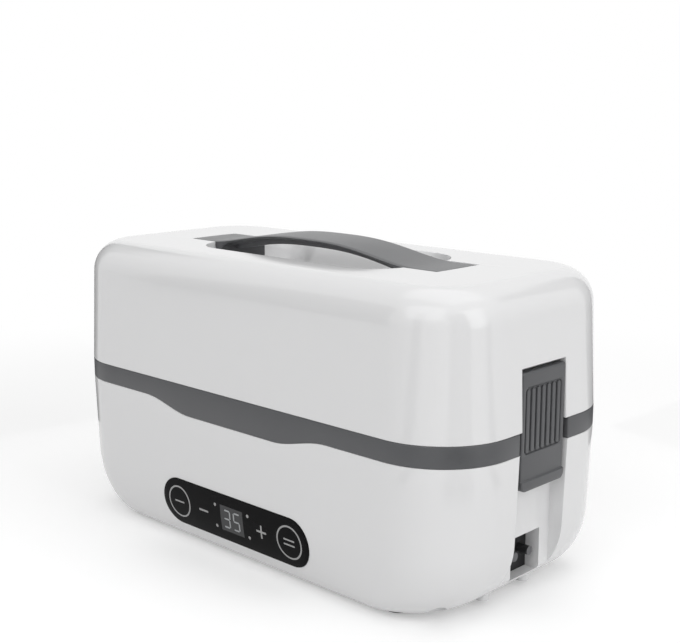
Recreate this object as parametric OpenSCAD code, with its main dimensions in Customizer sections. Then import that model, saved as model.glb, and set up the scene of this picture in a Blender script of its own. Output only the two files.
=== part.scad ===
// Electric lunch box: heated base, grey deck with two wells, two steel pots and a lift-off lid.
// Length along X, control panel on the -Y side, +Z up, origin under the centre of the case.

/* [Case] */
// Length of the closed case
body_len = 240; // [236:1:250]
// Width of the closed case, front to back
body_wid = 115.3; // [115:0.1:122]
// Plan radius of the vertical corners
corner_r = 32.5; // [28:0.5:36]
// Wall of the white shells
wall = 2.5; // [2:0.1:2.7]

/* [Base shell] */
// Height of the white base, without its feet
base_h = 63.8; // [62:0.1:70]
// Draft of the end walls, top to bottom
base_draft_end = 2; // [0.5:0.1:3]
// Draft of the front and rear walls
base_draft_side = 1; // [0.5:0.1:2]
// Height of the rounding along the bottom
bottom_round_h = 28; // [24:0.5:32]
// Reach of that rounding at the ends
bottom_round_end = 24.7; // [20:0.1:26]
// Reach of that rounding at the front and rear
bottom_round_side = 7; // [5:0.1:9]
// Plan corner radius of the flat bottom
bottom_corner_r = 21.3; // [18:0.1:26]

/* [End channels and latches] */
// Depth of the channel in each end
channel_d = 7.5; // [7:0.1:8]
// Width of the channel and of the notch in the belt
channel_w = 32.2; // [31:0.1:36]
// Width of a latch
latch_w = 28.4; // [26:0.1:29]
// Length of a latch
latch_len = 47.2; // [45:0.1:50]
// Thickness of a latch's plate
latch_t = 3; // [2.5:0.1:3.2]
// Set-in of a latch's face from the end of the case
latch_setin = 0.8; // [0.6:0.1:1]
// Height of a latch's top above the belt
latch_above = 22.9; // [20:0.1:26]
// Number of grip ribs on a latch
latch_ribs = 7; // [5:1:9]
// Depth of the sunk field between the grip ribs
rib_d = 0.8; // [0.4:0.1:1.2]
// Radius of a latch pin
latch_pin_r = 1; // [0.8:0.05:1.2]
// Depth of the catch under each hook
catch_d = 2.6; // [2:0.1:2.8]
// Width of the catch
catch_w = 24; // [18:0.5:26]

/* [Belt and deck] */
// Height of the grey belt at the ends
belt_h = 8.7; // [8:0.1:11]
// Dip of the belt's lower edge at the middle
belt_dip = 5; // [3:0.1:7]
// Half length of the flat part of the dip
dip_flat = 27; // [20:0.5:32]
// Half length over which the dip runs out
dip_end = 57; // [50:0.5:66]
// Drop from the belt's top to the deck
deck_drop = 5; // [4:0.1:5.5]
// Thickness of the deck
deck_t = 2.5; // [2:0.1:2.5]
// Thickness of the belt's wall
rim_t = 2; // [1.6:0.1:2]
// Height of the locating pegs on the deck
peg_h = 4.5; // [3:0.1:4.5]
// Radius of a peg at its foot
peg_r = 1.5; // [1.2:0.1:1.5]

/* [Lid] */
// Height of the lid
lid_h = 56.8; // [54:0.1:66]
// Draft of the lid's walls
lid_draft = 1.7; // [1:0.1:2]
// Radius of the lid's top edge
lid_edge_r = 14.4; // [12:0.1:16]
// Depth of the lip inside the belt
lip_h = 3.4; // [2:0.1:3.6]
// Thickness of that lip
lip_t = 1.6; // [1.2:0.1:1.8]

/* [Handle] */
// Half length of the arch
arch_half = 66; // [64:0.5:70]
// Rise of the arch above the lid
arch_rise = 6.7; // [5:0.1:10]
// Width of the handle
handle_w = 27; // [24:0.5:30]
// Thickness of the grip along its edges
grip_t = 2.4; // [2:0.1:3]
// Extra thickness of the grip's core
grip_core = 2; // [1.5:0.1:2.5]
// Overall length of the handle with its end plates
handle_len = 152; // [148:0.5:158]
// Depth of the handle's legs below the lid's top
leg_d = 9; // [8:0.1:10]
// Length of the finger recess
recess_len = 118; // [114:0.5:122]
// Width of the finger recess
recess_w = 58; // [52:0.5:64]
// Depth of the finger recess
recess_d = 13; // [12:0.1:16]

/* [Pots] */
// Gap between a pot's rim and the side of the case
pot_side_gap = 5.65; // [5.65:0.05:6.5]
// Gap between a pot's rim and the end of the case
pot_end_gap = 11; // [11:0.1:12]
// Gap between the rims of the two pots
pots_between = 10; // [9:0.1:12]
// Reach of a pot's rim beyond its body
pot_rim_w = 3; // [2.8:0.1:3.5]
// Taper of a pot's body, top to bottom
pot_taper = 1.5; // [1:0.1:3]
// Radius of the rounding into a pot's bottom
pot_round = 16; // [12:0.5:20]
// Height of a pot
pot_h = 52; // [50:0.1:54]
// Height of a pot's rim above the belt
pot_above = 19.7; // [18:0.1:20]
// Wall of a pot
pot_t = 0.8; // [0.6:0.1:1]

/* [Wells and heating pan] */
// Gap between a pot and the well in the deck
well_gap = 0.8; // [0.5:0.1:1]
// Half width of the neck between the wells
neck_half = 30.5; // [26:0.5:36]
// Set-back of the heating pan's wall from the well's edge
pan_gap = 0.6; // [0.4:0.1:0.7]
// Thickness of the heating pan
pan_t = 1.2; // [1:0.1:1.3]
// Width of the pan's flange
flange_w = 3; // [2.8:0.1:3]
// Thickness of the gasket above the flange
gasket_t = 1.5; // [1:0.1:2]
// Set-in of a heating plate from the foot of its pot
plate_setin = 5.5; // [4:0.5:9]
// Thickness of a heating plate
plate_t = 4; // [3:0.1:5]
// Set-in of a heating ring's mean line from the edge of its plate
ring_setin = 11; // [9:0.5:14]
// Side of a heating ring's section
ring_t = 4; // [3:0.1:5]

/* [Panel] */
// Length of the control panel
panel_len = 94; // [90:0.5:96]
// Height of the control panel
panel_h = 21.7; // [20:0.1:23]
// Height of the panel's middle above the base's bottom
panel_z = 17.5; // [17:0.1:22]
// Thickness of the panel's lens
lens_t = 1.6; // [1.2:0.1:1.8]
// How far the lens stands proud of the wall
lens_proud = 0.4; // [0.2:0.1:0.8]
// Distance of the round touch keys from the middle
key_far = 35.7; // [34:0.1:36]
// Distance of the minus and plus touch keys from the middle
key_near = 18.8; // [17:0.1:21]
// Width of the display
display_w = 17; // [14:0.5:17]
// Height of the display
display_h = 13; // [11:0.5:13]

/* [Inlet] */
// Width of the power inlet's opening
inlet_w = 19.2; // [18:0.1:22]
// Top of that opening above the base's bottom
inlet_top = 26.5; // [25:0.1:28]
// Height of that opening
inlet_h = 18; // [17:0.1:18.5]
// Depth of the socket
inlet_d = 6.5; // [5:0.1:8]
// Radius of an inlet pin
inlet_pin_r = 1.9; // [1.5:0.1:2.2]
// Distance between the inlet pins
inlet_pitch = 9.8; // [9:0.1:10.5]

/* [Feet and fixings] */
// Height of the rubber feet
foot_h = 2.5; // [2:0.1:4]
// Radius of a rubber foot
foot_r = 6; // [5:0.1:7]
// Radius of the long case screws
case_screw_r = 1.5; // [1.2:0.05:1.7]
// Radius of the small screws
small_screw_r = 1; // [0.8:0.05:1.1]
// Length of the bottom cover
cover_len = 140; // [136:1:144]
// Width of the bottom cover
cover_wid = 70; // [68:1:72]
// Thickness of the bottom cover
cover_t = 1.5; // [1.2:0.1:1.6]

/* [Hidden] */

$fn = 64;
hull_fn = 40;    // facets of the circles inside a hull
thin = 0.01;     // thickness of the slices that a hull joins
over = 1;        // how far a cut runs past the face that it opens
fit = 0.05;      // clearance of a screw or pin in its bore
seat = 0.2;      // clearance of a plate in its rebate
sides = [-1, 1];

// Heights, from the surface that the feet stand on
z_base = foot_h;
z_belt = z_base + base_h;
z_rim = z_belt + belt_h;
z_deck = z_rim - deck_drop;
z_lid = z_rim + lid_h;
z_floor = z_base + wall;
z_pot = z_rim + pot_above - pot_h;
z_panel = z_base + panel_z;
z_inlet = z_base + inlet_top - inlet_h;

// Pots: as large as both the length and the width of the case leave room for
pot_rim_r = min(body_wid / 2 - pot_side_gap, (body_len - pots_between) / 4 - pot_end_gap / 2);
pot_r = pot_rim_r - pot_rim_w;
pot_foot_r = pot_r - pot_taper;
pot_x = body_len / 2 - pot_end_gap - pot_rim_r;
plate_r = pot_foot_r - plate_setin;
ring_r = plate_r - ring_setin;

// Wells and pan: the neck is bounded by a circle that both well circles touch
well_r = pot_r + well_gap;
nose_r = (pot_x * pot_x + neck_half * neck_half - well_r * well_r) / (2 * (well_r - neck_half));
pan_off = pan_gap + pan_t;
flange_off = pan_off + flange_w;
z_flange = z_deck - deck_t - gasket_t;
flange_t = pan_t + 0.3;
z_plate = z_pot - pan_t - plate_t;

// End channels
x_channel = body_len / 2 - channel_d;
x_inner = x_channel - wall;

// Latches: the hook's flank runs steeper than the path on which the lid draws it away
latch_x = body_len / 2 - latch_setin;
latch_in_x = latch_x - latch_t;
latch_top = z_rim + latch_above;
latch_low = latch_top - latch_len;
pin_x = latch_in_x;
pin_z = latch_top - latch_t;
pin_half = latch_w / 2 + wall;
latch_gap = 0.4;
latch_swing = latch_t * sqrt(2) + latch_gap;
z_latch_roof = pin_z + latch_swing;
flank = 1.9;
hook_gap = 0.35;
catch_tip = 2;
z_catch = z_belt - 2.8;
z_catch_low = z_catch - catch_tip - catch_d * flank;
hook_in_x = x_channel + 0.8;
hook_h = 4;
lip_out = 4;
rib_pitch = 2.9;
rib_field = [z_rim - 9.5, z_rim + 16.5];

// Long screws that hold the deck to the base
case_x = body_len / 2 - 19;
case_y = body_wid / 2 - 17.6;
post_r = case_screw_r + 2.6;
post_top = z_floor + 35;
case_seat = z_base + 9.5;
head_r = 3;
head_h = 2;
handle_head_r = 2.4;

inlet_body = 10;

// Handle
leg_t = 6;
leg_x = arch_half - leg_t;
plate_in = 2;

// Electronics
board_z = z_floor + cover_t + 5;
board_t = 1.6;
board_top = board_z + board_t;
board_l = 76;
board_w = 52;
board_post = [board_l / 2 - 5, board_w / 2 - 5];
relay_size = [15, 19, 11];
winding_out = 18;
winding_in = 14;
winding_h = 11;
flange_h = 2.2;
panel_face = body_wid / 2 - base_draft_side - 0.3;
board_y = -(panel_face - wall - 6.2);
display_face = panel_face - lens_t - 1;
panel_post = panel_len / 2 + 3;
shield_z = z_plate - 6.8;
shield_t = 1;
stud_r = 2.5;
cover_post = [cover_len / 2 - 4, cover_wid / 2 - 4];
lead_r = 0.9;
terminal = [board_post.x + 1.5, 13];
terminal_r = 1.6;
lead_x = 10;
lead_y = 8;
foot_at = [cover_len / 2 + 9.5, cover_wid / 2 + 3.5];
pip = [body_len / 2 - 18, 13.6];

// Deck pegs in one half; the other half is this one turned half a turn
PEGS = [
    [-(body_len / 2 - 7.4), 30.4], [-(body_len / 2 - 7.1), -20.2], [-66.5, -(body_wid / 2 - 6.4)],
    [-19.5, -(body_wid / 2 - 7.6)], [29, -(body_wid / 2 - 9)], [76, -(body_wid / 2 - 7.4)]
];

function clamp01(t) = min(1, max(0, t));
function smooth(t) = t * t * (3 - 2 * t);
function mix(a, b, t) = a + (b - a) * t;
// Lower edge of the belt at x
function belt_low(x) = z_belt - belt_dip * smooth(clamp01((dip_end - abs(x)) / (dip_end - dip_flat)));
// Upper curve of the handle's arch at x
function arch_top(x) = z_lid + arch_rise * pow(cos(90 * pow(min(1, abs(x) / arch_half), 1.37)), 2);
function arch_low(x) = arch_top(x) - grip_t - 0.8 * pow(abs(x) / arch_half, 3);

// ---- Shared forms ----

module both_ends() {
    children();
    mirror([1, 0, 0]) children();
}

module at_corners(x, y) {
    for (sx = sides, sy = sides)
        translate([sx * x, sy * y, 0]) children();
}

// Rounded rectangle from squares and true circles
module rounded(l, w, r) {
    square([l - 2 * r, w], center = true);
    square([l, w - 2 * r], center = true);
    for (sx = sides, sy = sides)
        translate([sx * (l / 2 - r), sy * (w / 2 - r)]) circle(r);
}

// One slice of a hull: four thin discs at the corners of a rounded rectangle
module slice(hl, hw, r, z) {
    for (sx = sides, sy = sides)
        translate([sx * (hl - r), sy * (hw - r), z]) cylinder(r = r, h = thin, $fn = hull_fn);
}

// Base outside at g = 0, and parallel to it at other g, up to the height top
module base_form(g, top) {
    hull() {
        for (a = [0:15:90]) {
            z = (bottom_round_h + g) * (1 - cos(a));
            up = clamp01(z / base_h);
            back = 1 - sin(a);
            slice(body_len / 2 - base_draft_end * (1 - up) - bottom_round_end * back + g * sin(a),
                body_wid / 2 - base_draft_side * (1 - up) - bottom_round_side * back + g * sin(a),
                mix(bottom_corner_r, corner_r, sin(a)) + g * sin(a), z_base - g + z);
        }
        slice(body_len / 2 + g, body_wid / 2 + g, corner_r + g, top - thin);
    }
}

// Lid outside at g = 0, and parallel to it at other g, down to the height low
module lid_form(g, low) {
    round_r = lid_edge_r + g;
    hull() {
        slice(body_len / 2 + g, body_wid / 2 + g, corner_r + g, low);
        for (a = [0:15:90]) {
            back = lid_draft + round_r * (1 - cos(a)) - g;
            slice(body_len / 2 - back, body_wid / 2 - back, max(1, corner_r - back),
                z_lid + g - round_r * (1 - sin(a)) - thin);
        }
    }
}

// Everything above the belt's lower edge
module above_swoosh(h) {
    step = 3;
    xs = [for (x = [-dip_end:step:dip_end]) x];
    rotate([90, 0, 0])
        linear_extrude(2 * body_wid, center = true)
            polygon(concat(
                [[-body_len, z_belt]], [for (x = xs) [x, belt_low(x)]],
                [[body_len, z_belt], [body_len, z_belt + h], [-body_len, z_belt + h]]));
}

// Outline of the two wells and their neck, grown by off
module wells(off) {
    r = well_r + off;
    near = r / (well_r + nose_r);
    tx = pot_x * (1 - near);
    ty = (neck_half + nose_r) * near;
    for (s = sides) translate([s * pot_x, 0]) circle(r);
    difference() {
        square([2 * tx, 2 * ty], center = true);
        for (s = sides) translate([0, s * (neck_half + nose_r)]) circle(nose_r - off);
    }
}

// Screw that points down from its head's seat at the origin
module screw(r, head, head_t, length) {
    difference() {
        cylinder(r = head, h = head_t);
        for (a = [0, 90])
            rotate(a) translate([-head * 0.6, -0.4, head_t * 0.4]) cube([head * 1.2, 0.8, head_t]);
    }
    translate([0, 0, -length]) cylinder(r = r, h = length + head_t * 0.3);
}

// Straight round wire from one point to another
module lead(from, to, r) {
    v = to - from;
    n = norm(v);
    translate(from) rotate([0, acos(v.z / n), atan2(v.y, v.x)]) cylinder(r = r, h = n, $fn = 24);
}

module pill(l, h, depth) {
    rotate([90, 0, 0])
        linear_extrude(depth) {
            square([l - h, h], center = true);
            for (s = sides) translate([s * (l - h) / 2, 0]) circle(h / 2);
        }
}

// ---- Base ----

module channel_cut(z0, z1, w, depth) {
    both_ends()
        translate([body_len / 2 - depth, -w / 2, z0]) cube([depth + over, w, z1 - z0]);
}

// Ramped rib on the channel's floor that the latch's hook sits under
module catches() {
    both_ends()
        rotate([90, 0, 0])
            linear_extrude(catch_w, center = true)
                polygon([
                    [x_channel - over, z_catch_low - over], [x_channel, z_catch_low],
                    [x_channel + catch_d, z_catch - catch_tip], [x_channel + catch_d, z_catch - 0.6],
                    [x_channel + catch_d * 0.7, z_catch], [x_channel - over, z_catch]
                ]);
}

module base_shell() {
    color("whitesmoke") {
        difference() {
            union() {
                difference() {
                    base_form(0, z_belt);
                    base_form(-wall, z_rim);
                }
                intersection() {
                    base_form(0, z_belt);
                    union() {
                        channel_cut(z_base, z_belt, channel_w + 2 * wall, channel_d + wall);
                        inlet_walls();
                        at_corners(case_x, case_y)
                            translate([0, 0, z_base]) cylinder(r = post_r, h = post_top - z_base);
                        for (s = sides)
                            translate([s * panel_post, board_y, z_panel])
                                rotate([90, 0, 0]) cylinder(r = 2.8, h = -board_y);
                        at_corners(cover_post.x, cover_post.y)
                            translate([0, 0, z_base]) cylinder(r = 3.4, h = wall + 7);
                    }
                }
                at_corners(pip.x, pip.y)
                    translate([0, 0, z_base]) cylinder(r = 3, h = wall);
            }
            above_swoosh(body_len);
            channel_cut(z_base - over, z_rim, channel_w, channel_d);
            inlet_window();
            difference() {
                translate([0, -body_wid / 2 + 6, z_panel])
                    pill(panel_len + seat, panel_h + seat, 20);
                base_form(-lens_t, z_belt);
            }
            translate([0, -body_wid / 2 + 6, z_panel]) pill(panel_len - 8, panel_h - 8, 20);
            for (s = sides)
                translate([s * panel_post, board_y + thin, z_panel])
                    rotate([90, 0, 0]) cylinder(r = small_screw_r + fit, h = 5);
            translate([0, 0, z_base - over])
                linear_extrude(wall + 2 * over) rounded(cover_len - 12, cover_wid - 12, 6);
            translate([0, 0, z_base - over])
                linear_extrude(cover_t + over) rounded(cover_len + 2 * seat, cover_wid + 2 * seat, 8);
            at_corners(cover_post.x, cover_post.y)
                translate([0, 0, z_base]) cylinder(r = small_screw_r + fit, h = wall + 5);
            at_corners(foot_at.x, foot_at.y)
                translate([0, 0, z_base - over]) cylinder(r = foot_r + fit, h = 1 + over);
            at_corners(case_x, case_y) {
                translate([0, 0, z_base - over]) cylinder(r = case_screw_r + fit, h = body_len);
                translate([0, 0, z_base - over]) cylinder(r = head_r + seat, h = case_seat - z_base + over);
            }
        }
        difference() {
            catches();
            translate([-x_channel, -body_wid, 0]) cube([2 * x_channel, 2 * body_wid, z_rim]);
        }
    }
}

module bottom_cover() {
    color("whitesmoke")
        difference() {
            union() {
                translate([0, 0, z_base])
                    linear_extrude(cover_t) rounded(cover_len, cover_wid, 8);
                at_corners(board_post.x, board_post.y)
                    translate([0, 0, z_base]) cylinder(r = 2.6, h = board_z - z_base);
            }
            for (x = [-24:8:24])
                translate([x, 0, z_base - over])
                    linear_extrude(cover_t + 2 * over) rounded(2.6, 26, 1.2);
            at_corners(cover_post.x, cover_post.y) {
                translate([0, 0, z_base - over]) cylinder(r = small_screw_r + fit, h = cover_t + 2 * over);
                translate([0, 0, z_base - over]) cylinder(r = 2.2, h = over + 0.9);
            }
            at_corners(board_post.x, board_post.y)
                translate([0, 0, board_z - 4]) cylinder(r = small_screw_r + fit, h = 4 + over);
        }
}

module rubber_feet() {
    color("dimgray")
        at_corners(foot_at.x, foot_at.y) {
            cylinder(r = foot_r, h = foot_h + 1);
        }
}

module cover_screws() {
    color("silver")
        at_corners(cover_post.x, cover_post.y)
            translate([0, 0, z_base + 0.9]) mirror([0, 0, 1]) screw(small_screw_r, 2, 0.8, 4.5);
}

module case_screws() {
    color("silver")
        at_corners(case_x, case_y)
            translate([0, 0, case_seat])
                mirror([0, 0, 1]) screw(case_screw_r, head_r, head_h, post_top + 18 - case_seat);
}

// ---- Deck and pan ----

module deck_pegs() {
    for (turn = [0, 180], p = PEGS)
        rotate(turn) translate([p.x, p.y, z_deck])
            rotate_extrude($fn = 32)
                polygon([[0, -over], [peg_r, -over], [peg_r, 0], [0.5, peg_h], [0, peg_h]]);
}

module tray_rim() {
    notch = channel_w + 2 * rim_t;
    color("dimgray")
        difference() {
            union() {
                intersection() {
                    translate([0, 0, z_belt - belt_dip - over])
                        linear_extrude(belt_h + belt_dip + over)
                            difference() {
                                rounded(body_len, body_wid, corner_r);
                                rounded(body_len - 2 * rim_t, body_wid - 2 * rim_t, corner_r - rim_t);
                            }
                    above_swoosh(body_len);
                }
                translate([0, 0, z_deck - deck_t])
                    linear_extrude(deck_t) rounded(body_len - rim_t, body_wid - rim_t, corner_r);
                translate([0, 0, z_belt])
                    linear_extrude(belt_h)
                        intersection() {
                            rounded(body_len, body_wid, corner_r);
                            for (s = sides)
                                translate([s * (body_len / 2 - channel_d / 2 - rim_t / 2), 0])
                                    square([channel_d + rim_t, notch], center = true);
                        }
                at_corners(case_x, case_y)
                    translate([0, 0, post_top]) cylinder(r = post_r - 0.6, h = z_deck - deck_t - post_top + 1);
                deck_pegs();
            }
            channel_cut(z_belt - over, z_rim + over, channel_w, channel_d);
            translate([0, 0, z_deck - deck_t - over]) linear_extrude(deck_t + 2 * over) wells(0);
            at_corners(case_x, case_y)
                translate([0, 0, post_top - over]) cylinder(r = case_screw_r + fit, h = 20 + over);
            pan_screw_places() translate([0, 0, -over]) cylinder(r = small_screw_r + fit, h = 4.2 + over);
        }
}

// Six places round the wells where the flange is screwed up to the deck
module pan_screw_places() {
    out = pan_off + flange_w / 2 + 0.1;
    r = well_r + out;
    for (s = sides) {
        for (a = [-38, 38])
            translate([s * (pot_x + r * cos(a)), r * sin(a), z_flange]) children();
        translate([0, s * (neck_half + out), z_flange]) children();
    }
}

module flange_outline(inner) {
    difference() {
        intersection() {
            wells(flange_off);
            square([2 * (x_inner - 0.4), body_wid], center = true);
        }
        wells(inner);
    }
}

module pan_gasket() {
    color("gainsboro")
        difference() {
            translate([0, 0, z_flange]) linear_extrude(gasket_t) flange_outline(pan_gap);
            pan_screw_places() translate([0, 0, -over]) cylinder(r = small_screw_r + fit, h = gasket_t + 2 * over);
        }
}

module heating_pan() {
    color("#222426")
        difference() {
            union() {
                translate([0, 0, z_pot - pan_t]) linear_extrude(pan_t) wells(pan_off);
                translate([0, 0, z_pot - pan_t])
                    linear_extrude(z_flange - z_pot + pan_t)
                        difference() {
                            wells(pan_off);
                            wells(pan_gap);
                        }
                translate([0, 0, z_flange - flange_t]) linear_extrude(flange_t) flange_outline(pan_gap);
            }
            pan_screw_places()
                translate([0, 0, -flange_t - over]) cylinder(r = small_screw_r + fit, h = flange_t + 2 * over);
        }
}

module pan_screws() {
    color("silver")
        pan_screw_places()
            translate([0, 0, -flange_t]) mirror([0, 0, 1]) screw(small_screw_r, 1.5, 1.2, flange_t + 5);
}

module heating_plate(s) {
    color("lightgray")
        translate([s * pot_x, 0, 0]) {
            translate([0, 0, z_plate]) cylinder(r = plate_r, h = plate_t);
            translate([0, 0, shield_z + shield_t])
                cylinder(r = stud_r * 2, h = z_plate - shield_z - shield_t);
            translate([0, 0, shield_z - 5]) cylinder(r = stud_r, h = 6);
        }
}

module heating_ring(s) {
    mid = z_plate - ring_t / 2;
    color("darkslategray") {
        translate([s * pot_x, 0, z_plate - ring_t])
            rotate_extrude()
                translate([ring_r - ring_t / 2, 0]) square(ring_t);
        for (t = sides)
            translate([s * lead_x, t * lead_y, mid])
                rotate([0, s * 90, 0]) cylinder(r = ring_t / 2 - 0.2, h = pot_x - ring_r - lead_x + 2);
    }
}

module heat_shield() {
    color("silver")
        difference() {
            translate([0, 0, shield_z])
                linear_extrude(shield_t) {
                    for (s = sides) translate([s * pot_x, 0]) circle(plate_r + 4);
                    square([2 * pot_x, 56], center = true);
                }
            for (s = sides)
                translate([s * pot_x, 0, shield_z - over]) cylinder(r = stud_r + fit, h = shield_t + 2 * over);
            for (s = sides, t = sides)
                translate([s * lead_x, t * lead_y, shield_z - over]) cylinder(r = 2.4, h = shield_t + 2 * over);
            for (y = [-24, 0, 22])
                translate([0, y, shield_z - over]) cylinder(r = 5, h = shield_t + 2 * over);
        }
}

module shield_nuts() {
    color("gray")
        for (s = sides)
            translate([s * pot_x, 0, shield_z - 3])
                difference() {
                    cylinder(r = 4.6, h = 3, $fn = 6);
                    translate([0, 0, -over]) cylinder(r = stud_r + fit, h = 3 + 2 * over);
                }
}

module thermostat() {
    color("tan") {
        translate([0, 0, z_pot - pan_t - 5]) cylinder(r = 7.5, h = 5);
        translate([0, 0, z_pot - pan_t - 8]) cylinder(r = 5.5, h = 3.5);
    }
}

module thermal_fuse() {
    color("silver")
        translate([-6, 22, z_pot - pan_t - 2.2]) rotate([0, 90, 0]) cylinder(r = 2.2, h = 12);
}

module temperature_sensor() {
    color("goldenrod")
        translate([0, -24, z_pot - pan_t - 6]) cylinder(r = 3, h = 6);
}

// ---- Power inlet and electronics ----

module inlet_window() {
    translate([x_channel - inlet_d - over, -inlet_w / 2, z_inlet])
        cube([body_len, inlet_w, inlet_h]);
}

// White walls of the socket's recess, behind the channel's floor
module inlet_walls() {
    translate([x_channel - inlet_d, -inlet_w / 2 - rim_t, z_inlet - wall])
        cube([inlet_d, inlet_w + 2 * rim_t, inlet_h + wall + rim_t]);
}

module inlet_housing() {
    x1 = x_channel - inlet_d;
    color("#202020")
        difference() {
            intersection() {
                base_form(-wall - seat, z_belt);
                union() {
                    translate([x1 - 3, -inlet_w / 2 - rim_t - 1, z_inlet - wall])
                        cube([3, inlet_w + 2 * rim_t + 2, inlet_h + wall + rim_t + 1]);
                    translate([x1 - inlet_body, -inlet_w / 2, z_inlet + 1])
                        cube([inlet_body, inlet_w, inlet_h - 1]);
                }
            }
            for (s = sides)
                translate([0, s * inlet_pitch / 2, z_inlet + inlet_h / 2])
                    rotate([0, 90, 0]) cylinder(r = inlet_pin_r + fit, h = body_len);
        }
}

module inlet_pins() {
    color("silver")
        for (s = sides)
            translate([x_channel - inlet_d - inlet_body, s * inlet_pitch / 2, z_inlet + inlet_h / 2])
                rotate([0, 90, 0]) {
                    cylinder(r = inlet_pin_r, h = inlet_body + inlet_d - 1.2);
                    translate([0, 0, -2]) cylinder(r = inlet_pin_r + 0.9, h = 2);
                }
}

module power_board() {
    color("seagreen")
        difference() {
            translate([-board_l / 2, -board_w / 2, board_z]) cube([board_l, board_w, board_t]);
            at_corners(board_post.x, board_post.y)
                translate([0, 0, board_z - over]) cylinder(r = small_screw_r + fit, h = board_t + 2 * over);
        }
}

module power_board_screws() {
    color("silver")
        at_corners(board_post.x, board_post.y)
            translate([0, 0, board_top]) screw(small_screw_r, 2, 1.2, 5);
}

module relay() {
    color("royalblue")
        translate([board_post.x - relay_size.x, -relay_size.y / 2, board_top]) cube(relay_size);
}

module transformer() {
    color("goldenrod")
        translate([winding_out / 2 - board_post.x, 0, board_top]) {
            for (z = [0, winding_h - flange_h])
                translate([-winding_out / 2, -winding_out / 2, z]) cube([winding_out, winding_out, flange_h]);
            translate([-winding_in / 2, -winding_in / 2, 0]) cube([winding_in, winding_in, winding_h]);
        }
}

module capacitors() {
    color("slateblue") {
        translate([22, -18, board_top]) cylinder(r = 4, h = 11);
        translate([-22, -18, board_top]) cylinder(r = 3.2, h = 9);
    }
}

module mains_leads() {
    x0 = x_channel - inlet_d - inlet_body - 2 - seat;
    z0 = z_inlet + inlet_h / 2;
    for (s = sides)
        color(s > 0 ? "saddlebrown" : "steelblue") {
            lead([x0, s * inlet_pitch / 2, z0], [terminal.x, s * terminal.y, board_top + 2], lead_r);
            translate([terminal.x, s * terminal.y, board_top]) cylinder(r = terminal_r, h = terminal_r * 2);
        }
}

module heater_leads() {
    for (s = sides, t = sides)
        color("ivory")
            translate([s * (lead_x + 1.4), t * lead_y, board_top])
                cylinder(r = lead_r, h = z_plate - ring_t + 0.2 - board_top, $fn = 16);
}

module sensor_leads() {
    color("firebrick") {
        for (s = sides) {
            translate([s * 2.5, 0, board_top])
                cylinder(r = lead_r, h = z_pot - pan_t - 8 - board_top, $fn = 16);
            translate([s * 3, 22, board_top])
                cylinder(r = lead_r, h = z_pot - pan_t - 4.4 - board_top, $fn = 16);
        }
        translate([0, -24, board_top]) cylinder(r = lead_r, h = z_pot - pan_t - 6 - board_top, $fn = 16);
    }
}

// ---- Control panel ----

module panel_lens() {
    color("#1c1c1e")
        intersection() {
            translate([0, -body_wid / 2 + 6, z_panel]) pill(panel_len, panel_h, 20);
            difference() {
                base_form(lens_proud, z_belt);
                base_form(-lens_t + 0.02, z_belt + over);
            }
        }
}

// A row of round pieces that reach from the board to just behind the lens
module on_board(xs, dz) {
    for (x = xs, z = dz)
        translate([x, board_y, z_panel + z]) rotate([90, 0, 0]) children();
}

module display_module() {
    color("#2a2a2e")
        translate([-display_w / 2, -display_face, z_panel - display_h / 2])
            cube([display_w, display_face + board_y, display_h]);
}

module status_leds() {
    color("mistyrose")
        on_board([-10.6, 10.6], [-5, 5]) cylinder(r = 1.4, h = panel_face - lens_t - 0.9 + board_y);
}

module touch_springs() {
    color("silver")
        on_board([-key_far, -key_near, key_near, key_far], [0])
            difference() {
                cylinder(r = 3, h = panel_face - lens_t - 0.6 + board_y);
                translate([0, 0, -over]) cylinder(r = 2.4, h = panel_face);
            }
}

module control_board() {
    color("seagreen")
        difference() {
            translate([-panel_post - 4, board_y, z_panel - 9]) cube([2 * panel_post + 8, board_t, 18]);
            for (s = sides)
                translate([s * panel_post, board_y + board_t + over, z_panel])
                    rotate([90, 0, 0]) cylinder(r = small_screw_r + fit, h = board_t + 2 * over);
        }
}

module control_board_screws() {
    color("silver")
        for (s = sides)
            translate([s * panel_post, board_y + board_t, z_panel])
                rotate([-90, 0, 0]) screw(small_screw_r, 2, 1.2, board_t + 4);
}

module panel_ribbon() {
    y0 = board_y + board_t;
    y1 = -board_w / 2 + 0.8;
    z1 = board_top;
    color("lightgray")
        translate([-8, 0, 0])
            rotate([90, 0, 90])
                linear_extrude(16)
                    polygon([
                        [y0, z_panel - 1], [y0 + 3, z_panel - 1], [y0 + 12, z1 + 1], [y1, z1 + 1], [y1, z1],
                        [y0 + 11.6, z1], [y0 + 2.6, z_panel - 2], [y0, z_panel - 2]
                    ]);
}

// ---- Lid, handle and latches ----

module recess_form(g) {
    hull()
        for (a = [0:30:90]) {
            in_l = 16 * (1 - cos(a));
            in_w = 11 * (1 - cos(a));
            slice(recess_len / 2 - in_l + g, recess_w / 2 - in_w + g, 19 - in_w + g,
                z_lid - (recess_d + g) * sin(a) + (a == 0 ? over : 0));
        }
}

// Seat of one handle end: its plate and its leg, grown by g
module handle_seat(g) {
    w = handle_w + 2 * g;
    translate([leg_x - leg_t - g, -w / 2, z_lid - leg_d - g]) cube([leg_t + 2 * g, w, leg_d + 2 * over]);
    translate([leg_x - leg_t, -w / 2, z_lid - plate_in])
        cube([handle_len / 2 - leg_x + leg_t + g, w, plate_in + over]);
}

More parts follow.
